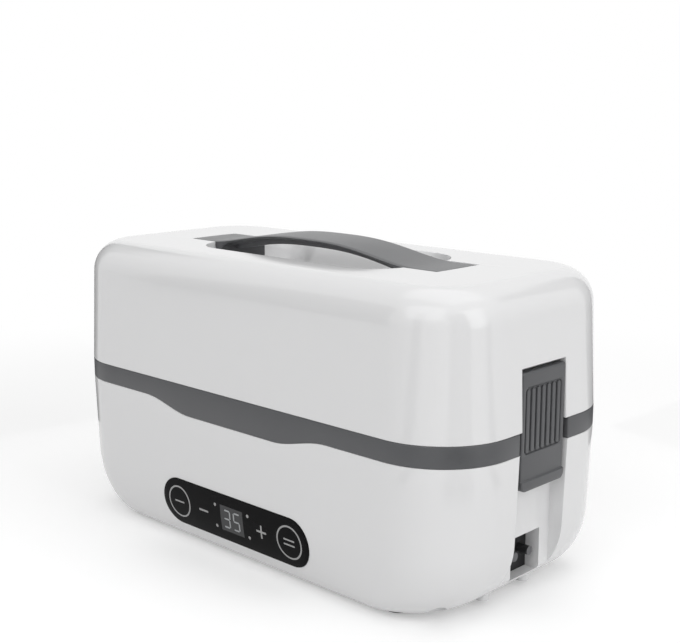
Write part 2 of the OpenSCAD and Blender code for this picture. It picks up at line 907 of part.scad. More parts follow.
module lid_shell() {
    boss_z = z_lid - leg_d - wall;
    color("whitesmoke")
        difference() {
            union() {
                difference() {
                    lid_form(0, z_rim);
                    lid_form(-wall, z_rim - over);
                }
                intersection() {
                    lid_form(0, z_rim);
                    union() {
                        channel_cut(z_rim, z_latch_roof + wall, latch_w + 2 * (latch_gap + wall), channel_d + wall);
                        recess_form(wall);
                        both_ends()
                            translate([leg_x - leg_t - wall, -handle_w / 2 - wall, boss_z])
                                cube([leg_t + 2 * wall, handle_w + 2 * wall, leg_d + wall]);
                        both_ends()
                            translate([leg_x, -handle_w / 2 - wall, z_lid - plate_in - wall])
                                cube([handle_len / 2 - leg_x + wall, handle_w + 2 * wall, plate_in + wall]);
                    }
                }
                lid_lip();
            }
            recess_form(0);
            both_ends() handle_seat(seat / 2);
            channel_cut(z_rim - deck_drop, z_latch_roof, latch_w + 2 * latch_gap, channel_d);
            both_ends()
                translate([pin_x, pin_half + fit, pin_z])
                    rotate([90, 0, 0]) cylinder(r = latch_pin_r + fit / 2, h = 2 * (pin_half + fit));
            handle_screw_places() {
                translate([0, 0, -over]) cylinder(r = case_screw_r + fit, h = wall + 2 * over);
                translate([0, 0, -wall]) cylinder(r = handle_head_r + seat, h = wall);
            }
        }
}

// Lip that drops inside the belt, left out beside the channels
module lid_lip() {
    off = rim_t + latch_gap;
    difference() {
        union() {
            translate([0, 0, z_rim - lip_h]) linear_extrude(lip_h + over) lip_ring(off, off + lip_t);
            translate([0, 0, z_rim]) linear_extrude(4) lip_ring(wall / 2, off + lip_t);
        }
        for (s = sides)
            translate([s * body_len / 2, 0, z_rim]) cube([30, channel_w + 14, 30], center = true);
    }
}

module lip_ring(outer, inner) {
    difference() {
        rounded(body_len - 2 * outer, body_wid - 2 * outer, corner_r - outer);
        rounded(body_len - 2 * inner, body_wid - 2 * inner, corner_r - inner);
    }
}

// Undersides of the bosses that carry the handle's legs
module handle_screw_places() {
    both_ends()
        for (t = sides)
            translate([leg_x - leg_t / 2, t * 8, z_lid - leg_d - wall]) children();
}

module carry_handle() {
    step = 3;
    xs = [for (x = [-arch_half:step:arch_half]) x];
    inner = leg_x - leg_t;
    low = [for (x = xs) if (abs(x) <= inner) x];
    color("dimgray")
        difference() {
            union() {
                rotate([90, 0, 0])
                    linear_extrude(handle_w, center = true)
                        polygon(concat(
                            [[-handle_len / 2, z_lid]], [for (x = xs) [x, arch_top(x)]], [[handle_len / 2, z_lid]],
                            [[handle_len / 2, z_lid - plate_in], [leg_x, z_lid - plate_in]],
                            [[leg_x, z_lid - leg_d], [inner, z_lid - leg_d]],
                            [for (i = [len(low) - 1:-1:0]) [low[i], arch_low(low[i])]],
                            [[-inner, z_lid - leg_d], [-leg_x, z_lid - leg_d]],
                            [[-leg_x, z_lid - plate_in], [-handle_len / 2, z_lid - plate_in]]));
                rotate([90, 0, 0])
                    linear_extrude(handle_w - 12, center = true)
                        polygon(concat(
                            [for (x = low) [x, arch_low(x) + 0.5]],
                            [for (i = [len(low) - 1:-1:0]) [low[i], arch_low(low[i]) - grip_core]]));
            }
            handle_screw_places() translate([0, 0, wall - over]) cylinder(r = case_screw_r + fit, h = 6 + over);
        }
}

module handle_screws() {
    color("silver")
        handle_screw_places() mirror([0, 0, 1]) screw(case_screw_r, handle_head_r, 1.6, wall + 5.5);
}

module latch() {
    field_h = rib_field[1] - rib_field[0];
    rib_w = latch_ribs * rib_pitch;
    color("dimgray")
        difference() {
            union() {
                rotate([90, 0, 0])
                    linear_extrude(latch_w, center = true)
                        polygon([
                            [latch_in_x - 1, latch_top], [latch_x - 0.8, latch_top], [latch_x, latch_top - 0.8],
                            [latch_x, latch_low + lip_out], [body_len / 2, latch_low + lip_out - 1],
                            [body_len / 2, latch_low + 0.8], [body_len / 2 - 0.8, latch_low],
                            [latch_in_x, latch_low], [latch_in_x, latch_top - 1]
                        ]);
                translate([pin_x, 0, pin_z])
                    rotate([90, 0, 0]) cylinder(r = latch_t, h = latch_w, center = true);
                rotate([90, 0, 0])
                    linear_extrude(catch_w - 2, center = true)
                        polygon([
                            [latch_in_x + 1, z_catch_low + (latch_in_x - x_channel - hook_gap) * flank],
                            [latch_in_x, z_catch_low + (latch_in_x - x_channel - hook_gap) * flank],
                            [hook_in_x, z_catch_low + (hook_in_x - x_channel - hook_gap) * flank],
                            [hook_in_x, z_catch_low - hook_h + 1], [latch_in_x, z_catch_low - hook_h],
                            [latch_in_x + 1, z_catch_low - hook_h]
                        ]);
            }
            difference() {
                translate([latch_x - rib_d, -rib_w / 2, rib_field[0]]) cube([rib_d + over, rib_w, field_h]);
                for (i = [0:latch_ribs - 1])
                    translate([0, (i - (latch_ribs - 1) / 2) * rib_pitch - 0.6, rib_field[0]])
                        cube([latch_x - 0.1, 1.2, field_h]);
            }
            translate([pin_x, 0, pin_z])
                rotate([90, 0, 0]) cylinder(r = latch_pin_r + fit, h = latch_w + 2 * over, center = true);
        }
}

module latch_pin() {
    color("silver")
        translate([pin_x, 0, pin_z])
            rotate([90, 0, 0]) cylinder(r = latch_pin_r, h = 2 * pin_half, center = true);
}

// ---- Pots ----

// Outside of a pot at g = 0 and its inside at g = -wall, from the foot's edge to the height top
function pot_side(g, top) = concat(
    [for (a = [0:10:90]) [pot_foot_r + g - pot_round * (1 - sin(a)), pot_round * (1 - cos(a)) - g * cos(a)]],
    [[pot_r + g, top]]);

module pot(s) {
    outside = pot_side(0, pot_h - 1.2);
    inside = pot_side(-pot_t, pot_h);
    color("silver")
        translate([s * pot_x, 0, z_pot])
            rotate_extrude($fn = 96)
                polygon(concat(
                    [[0, 0]], outside,
                    [[pot_rim_r - 0.4, pot_h - 1.4], [pot_rim_r, pot_h - 1], [pot_rim_r, pot_h - 0.4],
                        [pot_rim_r - 0.4, pot_h]],
                    [for (i = [len(inside) - 1:-1:0]) inside[i]], [[0, pot_t]]));
}

module left_heating_plate() heating_plate(-1);
module right_heating_plate() heating_plate(1);
module left_heating_ring() heating_ring(-1);
module right_heating_ring() heating_ring(1);
module left_latch() mirror([1, 0, 0]) latch();
module right_latch() latch();
module left_latch_pin() mirror([1, 0, 0]) latch_pin();
module right_latch_pin() latch_pin();
module left_pot() pot(-1);
module right_pot() pot(1);

base_shell();
bottom_cover();
rubber_feet();
cover_screws();
case_screws();
tray_rim();
pan_gasket();
heating_pan();
pan_screws();
left_heating_plate();
right_heating_plate();
left_heating_ring();
right_heating_ring();
heat_shield();
shield_nuts();
thermostat();
thermal_fuse();
temperature_sensor();
inlet_housing();
inlet_pins();
power_board();
power_board_screws();
relay();
transformer();
capacitors();
mains_leads();
heater_leads();
sensor_leads();
panel_lens();
display_module();
status_leds();
touch_springs();
control_board();
control_board_screws();
panel_ribbon();
lid_shell();
carry_handle();
handle_screws();
left_latch();
right_latch();
left_latch_pin();
right_latch_pin();
left_pot();
right_pot();
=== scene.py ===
import math

import bmesh
import bpy
from bpy.props import FloatProperty, FloatVectorProperty, IntProperty, PointerProperty
from bpy.types import Operator, Panel, PropertyGroup
from mathutils import Matrix, Vector


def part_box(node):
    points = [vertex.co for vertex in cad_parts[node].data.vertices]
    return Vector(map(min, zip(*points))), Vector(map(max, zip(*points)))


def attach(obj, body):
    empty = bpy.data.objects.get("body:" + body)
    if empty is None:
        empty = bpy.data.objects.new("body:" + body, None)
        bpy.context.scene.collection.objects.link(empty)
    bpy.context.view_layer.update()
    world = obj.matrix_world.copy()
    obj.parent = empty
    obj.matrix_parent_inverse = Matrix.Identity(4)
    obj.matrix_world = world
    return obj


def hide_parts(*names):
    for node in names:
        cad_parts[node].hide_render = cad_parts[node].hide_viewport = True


bl_info = {
    "name": "Electric Lunch Box",
    "version": (1, 0, 0),
    "blender": (4, 5, 0),
    "location": "View3D > Sidebar > Lunch Box",
    "description": "Shells, deck, latches, pots and control panel of a two-pot electric lunch box",
    "category": "Add Mesh",
}

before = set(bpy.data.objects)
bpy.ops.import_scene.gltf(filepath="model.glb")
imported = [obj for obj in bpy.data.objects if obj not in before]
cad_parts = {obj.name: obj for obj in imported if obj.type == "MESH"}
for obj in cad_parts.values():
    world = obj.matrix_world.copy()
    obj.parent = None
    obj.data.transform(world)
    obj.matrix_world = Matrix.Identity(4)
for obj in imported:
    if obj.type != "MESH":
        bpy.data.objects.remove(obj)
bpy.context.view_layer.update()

MM = 0.001
QUARTER = math.pi / 2
ENDS = (1, -1)
WHITE = (1, 1, 1, 1)
SHARP_ANGLE = math.radians(32)
STEEP_ANGLE = 0.7
MERGE_DISTANCE = 1e-6
FLUSH_DISTANCE = 1e-7

# Corners of the packed pieces, from which the visible ones take their sizes
BASE_LOW, BASE_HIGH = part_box("base_shell")
DECK_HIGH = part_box("tray_rim")[1]
GRIP_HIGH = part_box("carry_handle")[1]
LATCH_LOW, LATCH_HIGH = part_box("right_latch")
POT_LOW, POT_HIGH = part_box("right_pot")
LENS_LOW, LENS_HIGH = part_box("panel_lens")

HALF_L, HALF_W, Z_RIM = DECK_HIGH
Z_DECK = Z_RIM - 5 * MM
Z_BASE, Z_BELT = BASE_LOW.z, BASE_HIGH.z
Z_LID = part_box("lid_shell")[1].z
Z_PANEL = (LENS_LOW.z + LENS_HIGH.z) / 2
LENS_HALF = (LENS_HIGH - LENS_LOW) / 2
POT_AXIS = (POT_LOW.x + POT_HIGH.x) / 2
LATCH_FACE = LATCH_HIGH.x - 0.8 * MM

# Catch on the floor of each channel, which the latch's hook grips
CATCH_REACH, CATCH_SLOPE, CATCH_LAND = 2.6 * MM, 1.9, 2 * MM
CATCH_TOP = Z_BELT - 2.8 * MM
CATCH_FOOT = CATCH_TOP - CATCH_LAND - CATCH_REACH * CATCH_SLOPE

# Points along the parts of a case outline, and where its two end channels lie
END_PLAIN = 8
END_MARKED = 12
CORNER_STEPS = 20
SIDE_STEPS = 60
HALF_OUTLINE = 2 * END_PLAIN + END_MARKED + 2 * CORNER_STEPS + SIDE_STEPS
CHANNEL_STARTS = (END_PLAIN, HALF_OUTLINE + END_PLAIN)
CHANNEL_COLUMNS = {start + i for start in CHANNEL_STARTS for i in range(END_MARKED)}


# ---- settings

def length(name, description, millimetres):
    return FloatProperty(name=name, description=description, unit="LENGTH", default=millimetres * MM)


def colour(name, description, default):
    return FloatVectorProperty(name=name, description=description, subtype="COLOR", size=3, min=0, max=1,
                               default=default)


def position(name, description, millimetres):
    return FloatVectorProperty(name=name, description=description, subtype="TRANSLATION", size=3,
                               default=[value * MM for value in millimetres])


def number(name, description, default):
    return FloatProperty(name=name, description=description, default=default)


class CaseSettings(PropertyGroup):
    """Sizes and colours of the shells, the deck and the belt."""

    shell_colour: colour("Shell", "Colour of the white shells", (0.80, 0.80, 0.805))
    grey_colour: colour("Grey", "Colour of the deck, latches and handle", (0.090, 0.092, 0.097))
    corner_radius: length("Corner", "Plan radius of the vertical corners", 32.5)
    wall: length("Wall", "Wall of the white shells", 2.5)
    round_height: length("Bottom height", "Height of the rounding along the bottom", 28)
    round_end: length("Bottom end", "Reach of the bottom rounding at the ends", 24.7)
    round_side: length("Bottom side", "Reach of the bottom rounding at the front and rear", 7)
    bottom_corner: length("Bottom corner", "Plan corner radius of the flat bottom", 21.3)
    draft_end: length("End draft", "Draft of the base's end walls", 2)
    draft_side: length("Side draft", "Draft of the base's long walls", 1)
    lid_draft: length("Lid draft", "Draft of the lid's walls", 1.7)
    lid_edge: length("Lid edge", "Radius of the lid's top edge", 14.4)
    belt_dip: length("Belt dip", "Dip of the belt's lower edge at the middle", 5)
    dip_flat: length("Dip flat", "Half length of the flat part of the dip", 27)
    dip_end: length("Dip end", "Half length over which the dip runs out", 57)
    channel_depth: length("Channel depth", "Depth of the channel in each end", 7.5)
    channel_half: length("Channel half width", "Half width of the channel in each end", 16.1)
    edge_round: length("Edge", "Radius of the small moulded edges", 0.5)


class HandleSettings(PropertyGroup):
    """Sizes of the finger recess and the carrying handle."""

    recess_half_length: length("Recess half length", "Half length of the finger recess", 59)
    recess_half_width: length("Recess half width", "Half width of the finger recess", 29)
    recess_corner: length("Recess corner", "Plan radius of the finger recess", 19)
    recess_depth: length("Recess depth", "Depth of the finger recess", 13)
    grip_thickness: length("Grip", "Thickness of the grip along its edges", 2.4)
    arch_half: length("Arch half length", "Half length of the arch", 66)
    plate_depth: length("Plate", "Depth of the end plates' seats", 2)
    leg_depth: length("Leg", "Depth of the legs below the lid's top", 9)


class PotSettings(PropertyGroup):
    """Sizes and finish of the two steel pots."""

    steel_colour: colour("Steel", "Colour of the polished steel", (0.70, 0.68, 0.66))
    body_radius: length("Body", "Radius of a pot's body at the top", 49)
    foot_radius: length("Foot", "Radius of a pot's body at the bottom", 47.5)
    bottom_round: length("Rounding", "Radius of the rounding into the bottom", 16)
    wall: length("Sheet", "Thickness of the steel", 0.8)
    turned_lines: IntProperty(
        name="Turned lines", description="Polishing lines per metre", default=2600, min=100)


class ControlSettings(PropertyGroup):
    """Sizes and colours of the touch panel."""

    lens_colour: colour("Lens", "Colour of the panel", (0.004, 0.004, 0.0044))
    mark_colour: colour("Marks", "Colour of the printed marks", (0.36, 0.36, 0.36))
    proud: length("Proud", "How far the lens stands out of the wall", 0.4)
    thickness: length("Thickness", "Thickness of the lens", 1.6)
    far_key: length("Round key", "Distance of the round keys from the middle", 35.7)
    near_key: length("Sign key", "Distance of the minus and plus keys from the middle", 18.8)
    key_radius: length("Ring", "Outer radius of a round key's ring", 7.5)
    digits: IntProperty(name="Digits", description="Number on the display", default=35, min=0, max=99)


class StageSettings(PropertyGroup):
    """Floor, camera and lamps."""

    floor_colour: colour("Floor", "Colour of the floor", (0.86, 0.86, 0.86))
    camera_place: position("Camera", "Place of the camera", (368.2, -371.1, 203.2))
    camera_aim: position("Aim", "Point that the camera looks at", (7, 3, 100))
    lens: number("Lens", "Focal length in millimetres on a 36 mm sensor", 62.5)
    key_power: number("Key", "Power of the large front lamp in watts", 2.9)
    side_power: number("Side", "Power of the lamp at the right end in watts", 2.2)
    top_power: number("Top", "Power of the overhead lamp in watts", 2.5)
    world_strength: number("World", "Strength of the even light all round", 0.47)


SETTINGS = {
    "lunchbox_case": CaseSettings,
    "lunchbox_handle": HandleSettings,
    "lunchbox_pots": PotSettings,
    "lunchbox_controls": ControlSettings,
    "lunchbox_stage": StageSettings,
}


def settings(name):
    return getattr(bpy.context.scene, "lunchbox_" + name)


# ---- points

def mix(a, b, t):
    return a + (b - a) * t


def smooth_step(t):
    t = min(1.0, max(0.0, t))
    return t * t * (3 - 2 * t)


def spread(a, b, count):
    """Evenly spaced values from a up to, and not including, b."""
    return [mix(a, b, i / count) for i in range(count)]


def quarter(count):
    """Angles from zero to a right angle, both included."""
    return [QUARTER * i / count for i in range(count + 1)]


def fall(depth, radius):
    """How far a rounded edge has turned in at a depth past the start of its radius."""
    return radius - math.sqrt(max(0.0, radius ** 2 - depth ** 2)) if depth > 0 else 0.0


def arc(cx, cy, radius, start=0.0, end=math.tau, steps=40):
    """Points of an arc from the angle start up to, and not including, the angle end."""
    return [(cx + radius * math.cos(a), cy + radius * math.sin(a)) for a in spread(start, end, steps)]


def corner(cx, cy, radius, turn):
    """Rounded corner of a case outline: a quarter circle from the angle turn, in degrees."""
    return arc(cx, cy, radius, math.radians(turn), math.radians(turn + 90), CORNER_STEPS)


def rounded_box(low_u, high_u, low_v, high_v, radius, steps):
    """Outline of a flat box with round corners."""
    left, right, lower, upper = low_u + radius, high_u - radius, low_v + radius, high_v - radius
    points = []
    for cu, cv, turn in ((right, upper, 0), (left, upper, 90), (left, lower, 180), (right, lower, 270)):
        for i in range(steps + 1):
            a = math.radians(turn + 90 * i / steps)
            points.append((cu + radius * math.cos(a), cv + radius * math.sin(a)))
    return points


def rear_side(flat_x, flat_y, radius, half_w, steps=SIDE_STEPS):
    """Right rear corner, rear side and left rear corner of a case outline."""
    return (corner(flat_x, flat_y, radius, 0) + [(x, half_w) for x in spread(flat_x, -flat_x, steps)]
            + corner(-flat_x, flat_y, radius, 90))


def case_plan(right_end, half_l, half_w, radius):
    """Whole plan of the case from the points up its right end. A half turn gives its other half."""
    half = right_end + rear_side(half_l - radius, half_w - radius, radius, half_w)
    return half + [(-x, -y) for x, y in half]


def raised(plan, height):
    """Points of a plan at a height: a number, or a function of x for an edge that rises and falls."""
    return [Vector((x, y, height(x) if callable(height) else height)) for x, y in plan]


def case_outline(half_l, half_w, radius, mark, height):
    """Outline of the case at one level, with points at y = +-mark on both ends, or nearer on short ends."""
    flat_y = half_w - radius
    mark = mark if mark < 0.97 * flat_y else 0.6 * flat_y
    ends = (spread(-flat_y, -mark, END_PLAIN) + spread(-mark, mark, END_MARKED)
            + spread(mark, flat_y, END_PLAIN))
    return raised(case_plan([(half_l, y) for y in ends], half_l, half_w, radius), height)


def upright(z0):
    """Placer for prisms whose outline lies flat and which rise from z0."""
    return lambda u, v, w: (u, v, z0 + w)


def along_y(y0):
    """Placer for prisms whose outline stands in the XZ plane and which run back from y0."""
    return lambda u, v, w: (u, y0 + w, v)


def along_x(x0):
    """Placer for prisms whose outline stands in the YZ plane and which run right from x0."""
    return lambda u, v, w: (x0 + w, u, v)


# ---- faces

def ring_faces(bm, lower, upper, skip=()):
    """Quads between two closed rings of vertices, apart from the columns in skip."""
    count = len(lower)
    return [bm.faces.new((lower[i], lower[(i + 1) % count], upper[(i + 1) % count], upper[i]))
            for i in range(count) if i not in skip]


def strip_faces(bm, lower, upper):
    """Quads between two open lines of vertices."""
    for quad in zip(lower, lower[1:], upper[1:], upper):
        bm.faces.new(quad)


def loft(bm, rows, open_rows=()):
    """Quads between rings of points. The rows in open_rows leave the two end channels open."""
    rings = [[bm.verts.new(point) for point in row] for row in rows]
    for i, (lower, upper) in enumerate(zip(rings, rings[1:])):
        ring_faces(bm, lower, upper, CHANNEL_COLUMNS if i in open_rows else ())
    return rings


def closed_loft(bm, rows):
    rings = loft(bm, rows)
    bm.faces.new(rings[0][::-1])
    bm.faces.new(rings[-1])


def sink_channel(bm, rings, first, x_floor, row, last):
    """Floor and side walls of a channel in one end, from ring number row up to ring number last.

    Returns the edge of the floor at the last ring.
    """
    floor = []
    for ring in rings[row:last + 1]:
        line = []
        for vert in ring[first:first + END_MARKED + 1]:
            flush = abs(abs(vert.co.x) - abs(x_floor)) < FLUSH_DISTANCE
            line.append(vert if flush else bm.verts.new((x_floor, vert.co.y, vert.co.z)))
        floor.append(line)
    for i, (lower, upper) in enumerate(zip(floor, floor[1:])):
        strip_faces(bm, lower, upper)
        for end in (0, END_MARKED):
            wall = [rings[row + i][first + end], rings[row + i + 1][first + end], upper[end], lower[end]]
            if wall[0] is wall[3]:
                wall.pop()
            bm.faces.new(wall if end == 0 else wall[::-1])
    return floor[-1]


def add_block(bm, low, high):
    low, high = Vector(low), Vector(high)
    for vert in bmesh.ops.create_cube(bm, size=1)["verts"]:
        vert.co = vert.co * (high - low) + (low + high) / 2


def add_prism(bm, outline, place, depth):
    """Closed prism over a flat outline: place(u, v, w) gives a point, w runs from 0 to depth."""
    near, far = ([bm.verts.new(place(u, v, w)) for u, v in outline] for w in (0, depth))
    faces = [bm.faces.new(near[::-1]), bm.faces.new(far)] + ring_faces(bm, near, far)
    bmesh.ops.recalc_face_normals(bm, faces=faces)


def fill_between(bm, outer, inner):
    """Flat face with a hole between two loops of vertices."""
    edges = []
    for loop in (outer, inner):
        for pair in zip(loop, loop[1:] + loop[:1]):
            edges.append(bm.edges.get(pair) or bm.edges.new(pair))
    bmesh.ops.triangle_fill(bm, edges=edges, use_beauty=True)


# ---- objects

def new_object(name, data):
    obj = bpy.data.objects.new(name, data)
    bpy.context.scene.collection.objects.link(obj)
    return obj


def shaded(obj):
    """Smooth shading, apart from the sharp edges."""
    for face in obj.data.polygons:
        face.use_smooth = True
    obj.data.set_sharp_from_angle(angle=SHARP_ANGLE)
    return obj


def opened(obj):
    bm = bmesh.new()
    bm.from_mesh(obj.data)
    return bm


def stored(bm, obj):
    bm.to_mesh(obj.data)
    bm.free()
    return shaded(obj)


def mesh_object(name, draw, *values):
    """Object at the origin with what draw(bm, *values) makes, its doubles merged."""
    bm = bmesh.new()
    draw(bm, *values)
    bmesh.ops.remove_doubles(bm, verts=bm.verts, dist=MERGE_DISTANCE)
    return stored(bm, new_object(name, bpy.data.meshes.new(name)))


def face_outwards(obj):
    """Merges doubles, drops empty faces and turns every normal outwards."""
    bm = opened(obj)
    bmesh.ops.remove_doubles(bm, verts=bm.verts, dist=MERGE_DISTANCE)
    bmesh.ops.dissolve_degenerate(bm, edges=bm.edges, dist=FLUSH_DISTANCE)
    bmesh.ops.recalc_face_normals(bm, faces=bm.faces)
    return stored(bm, obj)


def solid(name, draw, *values):
    """Object with what draw(bm, *values) makes, all its faces outwards."""
    return face_outwards(mesh_object(name, draw, *values))


def painted(obj, material):
    obj.data.materials.clear()
    obj.data.materials.append(material)
    return obj


def discard(obj):
    data = obj.data
    bpy.data.objects.remove(obj)
    bpy.data.meshes.remove(data)


def joined(name, parts, material):
    """One object of one material from several, which are then removed."""
    bm = bmesh.new()
    for part in parts:
        bm.from_mesh(part.data)
        discard(part)
    for face in bm.faces:
        face.material_index = 0
    return painted(stored(bm, new_object(name, bpy.data.meshes.new(name))), material)


def baked(obj):
    """Turns what the modifiers make into the object's own plain mesh."""
    bpy.context.view_layer.update()
    evaluated = obj.evaluated_get(bpy.context.evaluated_depsgraph_get())
    old, mesh = obj.data, bpy.data.meshes.new_from_object(evaluated)
    obj.modifiers.clear()
    obj.data = mesh
    bpy.data.meshes.remove(old)
    return shaded(obj)


def modified(obj, kind, **values):
    """Adds one modifier and bakes it."""
    step = obj.modifiers.new("step", kind)
    for key, value in values.items():
        setattr(step, key, value)
    return baked(obj)


def round_edges(obj, width, segments, degrees):
    return modified(obj, "BEVEL", width=width, segments=segments, limit_method="ANGLE",
                    angle_limit=math.radians(degrees), harden_normals=False)


def thicken(obj, wall):
    return modified(obj, "SOLIDIFY", thickness=wall, offset=-1, use_even_offset=True)


def even_shading(obj):
    """Lets the large faces set the normals, so that flat walls stay flat beside small rounded edges."""
    return modified(obj, "WEIGHTED_NORMAL", keep_sharp=True)


def combine(obj, tools, operation="DIFFERENCE"):
    """Cuts or joins obj with the tool objects, which are then removed."""
    for tool in tools:
        modified(obj, "BOOLEAN", operation=operation, solver="EXACT", object=tool)
        discard(tool)


def bevel_near(obj, test, width, segments):
    """Rounds the steep edges of obj whose middle passes the test."""
    bm = opened(obj)
    edges = [edge for edge in bm.edges if len(edge.link_faces) == 2 and edge.calc_face_angle(0) > STEEP_ANGLE
             and test((edge.verts[0].co + edge.verts[1].co) / 2)]
    bmesh.ops.bevel(bm, geom=edges, offset=width, segments=segments, affect="EDGES", profile=0.5)
    return stored(bm, obj)


def block(low, high):
    return mesh_object("block", add_block, low, high)


def end_block(side, near_x, far_x, half_w, low, high):
    """Block at one end, between two distances from the middle."""
    x0, x1 = sorted((side * near_x, side * far_x))
    return block((x0, -half_w, low), (x1, half_w, high))


def disc(x, y, radius, low, high):
    return mesh_object("disc", add_prism, arc(x, y, radius), upright(low), high - low)


# ---- node helpers

def new_tree(kind, name, inputs, outputs):
    """New node group. inputs holds (label, type, default), outputs holds (label, type).

    Returns the group, the identifiers of its inputs, and the sockets of its two end nodes.
    """
    tree = bpy.data.node_groups.new(name, kind)
    keys = {}
    for label, socket, default in inputs:
        item = tree.interface.new_socket(label, in_out="INPUT", socket_type="NodeSocket" + socket)
        keys[label] = item.identifier
        if default is not None:
            item.default_value = default
    for label, socket in outputs:
        tree.interface.new_socket(label, in_out="OUTPUT", socket_type="NodeSocket" + socket)
    given, result = tree.nodes.new("NodeGroupInput"), tree.nodes.new("NodeGroupOutput")
    return tree, keys, given.outputs, result.inputs


def add(tree, kind, links=(), **values):
    """Adds a node; values set properties or, for names that are inputs, socket defaults."""
    made = tree.nodes.new(kind)
    for key, value in values.items():
        label = key.replace("_", " ")
        if hasattr(made, key) and label not in made.inputs:
            setattr(made, key, value)
        else:
            made.inputs[label].default_value = value
    for source, target in links:
        tree.links.new(source, made.inputs[target])
    return made


def calc(tree, operation, *values):
    """Math node over sockets and plain numbers. Returns its result."""
    made = add(tree, "ShaderNodeMath", operation=operation)
    for slot, value in zip(made.inputs, values):
        if isinstance(value, float):
            slot.default_value = value
        else:
            tree.links.new(value, slot)
    return made.outputs[0]


def object_place(tree):
    return add(tree, "ShaderNodeTexCoord").outputs["Object"]


def noise(tree, place, scale, detail):
    """Noise over a place; scale is a socket or a plain number."""
    made = add(tree, "ShaderNodeTexNoise", [(place, "Vector")], Detail=detail)
    if isinstance(scale, float):
        made.inputs["Scale"].default_value = scale
    else:
        tree.links.new(scale, made.inputs["Scale"])
    return made.outputs[0]


# ---- shader groups

def moulded_grain(name):
    """Fine grain of moulded plastic: a bump height and a slight unevenness of the gloss."""
    tree, _, given, result = new_tree(
        "ShaderNodeTree", name,
        [("Scale", "Float", 1800.0), ("Roughness", "Float", 0.4), ("Spread", "Float", 0.04)],
        [("Height", "Float"), ("Roughness", "Float")])
    place = object_place(tree)
    tree.links.new(noise(tree, place, given["Scale"], 3.0), result["Height"])
    offset = calc(tree, "SUBTRACT", noise(tree, place, 38.0, 2.0), 0.5)
    gloss = calc(tree, "MULTIPLY_ADD", offset, given["Spread"], given["Roughness"])
    tree.links.new(gloss, result["Roughness"])
    return tree


def turned_steel(name):
    """Fine circular polishing lines round the axes of the two pots."""
    tree, _, given, result = new_tree(
        "ShaderNodeTree", name, [("Axis", "Float", 0.057), ("Lines", "Float", 2600.0)],
        [("Height", "Float")])
    parts = add(tree, "ShaderNodeSeparateXYZ", [(object_place(tree), "Vector")]).outputs
    across = calc(tree, "SUBTRACT", calc(tree, "ABSOLUTE", parts["X"]), given["Axis"])
    flat = add(tree, "ShaderNodeCombineXYZ", [(across, "X"), (parts["Y"], "Y")])
    radius = add(tree, "ShaderNodeVectorMath", [(flat.outputs[0], 0)], operation="LENGTH")
    turn = calc(tree, "MULTIPLY", calc(tree, "ARCTAN2", parts["Y"], across), 0.0006)
    track = add(tree, "ShaderNodeCombineXYZ",
                [(radius.outputs["Value"], "X"), (parts["Z"], "Y"), (turn, "Z")])
    tree.links.new(noise(tree, track.outputs[0], given["Lines"], 2.0), result["Height"])
    return tree


def soft_shade(name):
    """Slightly lighter and darker patches of one colour, from a soft noise."""
    tree, _, given, result = new_tree(
        "ShaderNodeTree", name,
        [("Colour", "Color", (0.5, 0.5, 0.5, 1)), ("Amount", "Float", 0.06), ("Scale", "Float", 30.0)],
        [("Colour", "Color")])
    patches = noise(tree, object_place(tree), given["Scale"], 3.0)
    lifted = calc(tree, "MULTIPLY_ADD", patches, given["Amount"], 1.0)
    less = calc(tree, "SUBTRACT", lifted, given["Amount"])
    shade = add(tree, "ShaderNodeVectorMath", [(given["Colour"], 0), (less, "Scale")], operation="SCALE")
    tree.links.new(shade.outputs[0], result["Colour"])
    return tree


GROUPS = {"MouldedGrain": moulded_grain, "TurnedSteel": turned_steel, "SoftShade": soft_shade}


def use_group(tree, name, **values):
    """Places a shader group, which is built the first time, with this material's own values."""
    made = tree.nodes.new("ShaderNodeGroup")
    made.node_tree = bpy.data.node_groups.get(name) or GROUPS[name](name)
    for key, value in values.items():
        made.inputs[key].default_value = value
    return made.outputs


# ---- materials

def new_material(name, **values):
    """Material, its node tree and its Principled inputs, with the values that are even all over."""
    material = bpy.data.materials.new(name)
    material.use_nodes = True
    body = material.node_tree.nodes["Principled BSDF"]
    for key, value in values.items():
        body.inputs[key.replace("_", " ")].default_value = value
    return material, material.node_tree, body


def surface(name, tint, roughness, grain=900, metallic=0.0, coat=0.0, spread=0.04, bump=0.1, shade=0.05,
            lines=None, glow=0.0, specular=0.5):
    """Material with soft patches, an uneven gloss and a relief of moulded grain or of turned lines."""
    if name in bpy.data.materials:
        return bpy.data.materials[name]
    material, tree, body = new_material(name, Metallic=metallic, Coat_Weight=coat, Coat_Roughness=0.12,
                                        Specular_IOR_Level=specular, Emission_Strength=glow)
    patches = use_group(tree, "SoftShade", Colour=(*tint, 1), Amount=shade)["Colour"]
    texture = use_group(tree, "MouldedGrain", Scale=grain, Roughness=roughness, Spread=spread)
    height, depth = texture["Height"], 0.0002
    if lines:
        height, depth = use_group(tree, "TurnedSteel", Lines=lines)["Height"], 0.0001
    relief = add(tree, "ShaderNodeBump", [(height, "Height")], Strength=bump, Distance=depth)
    links = [(patches, "Base Color"), (texture["Roughness"], "Roughness"), (relief.outputs[0], "Normal")]
    if glow:
        links.append((patches, "Emission Color"))
    for source, target in links:
        tree.links.new(source, body.inputs[target])
    return material


def white_plastic():
    return surface("WhitePlastic", settings("case").shell_colour, 0.13, 5000, bump=0.006, shade=0.01)


def grey_plastic():
    return surface("GreyPlastic", settings("case").grey_colour, 0.42, 2600, bump=0.16, shade=0.06,
                   spread=0.06)


def satin_plastic():
    return surface("SatinPlastic", settings("case").grey_colour, 0.36, 2600, bump=0.22, shade=0.08,
                   spread=0.06)


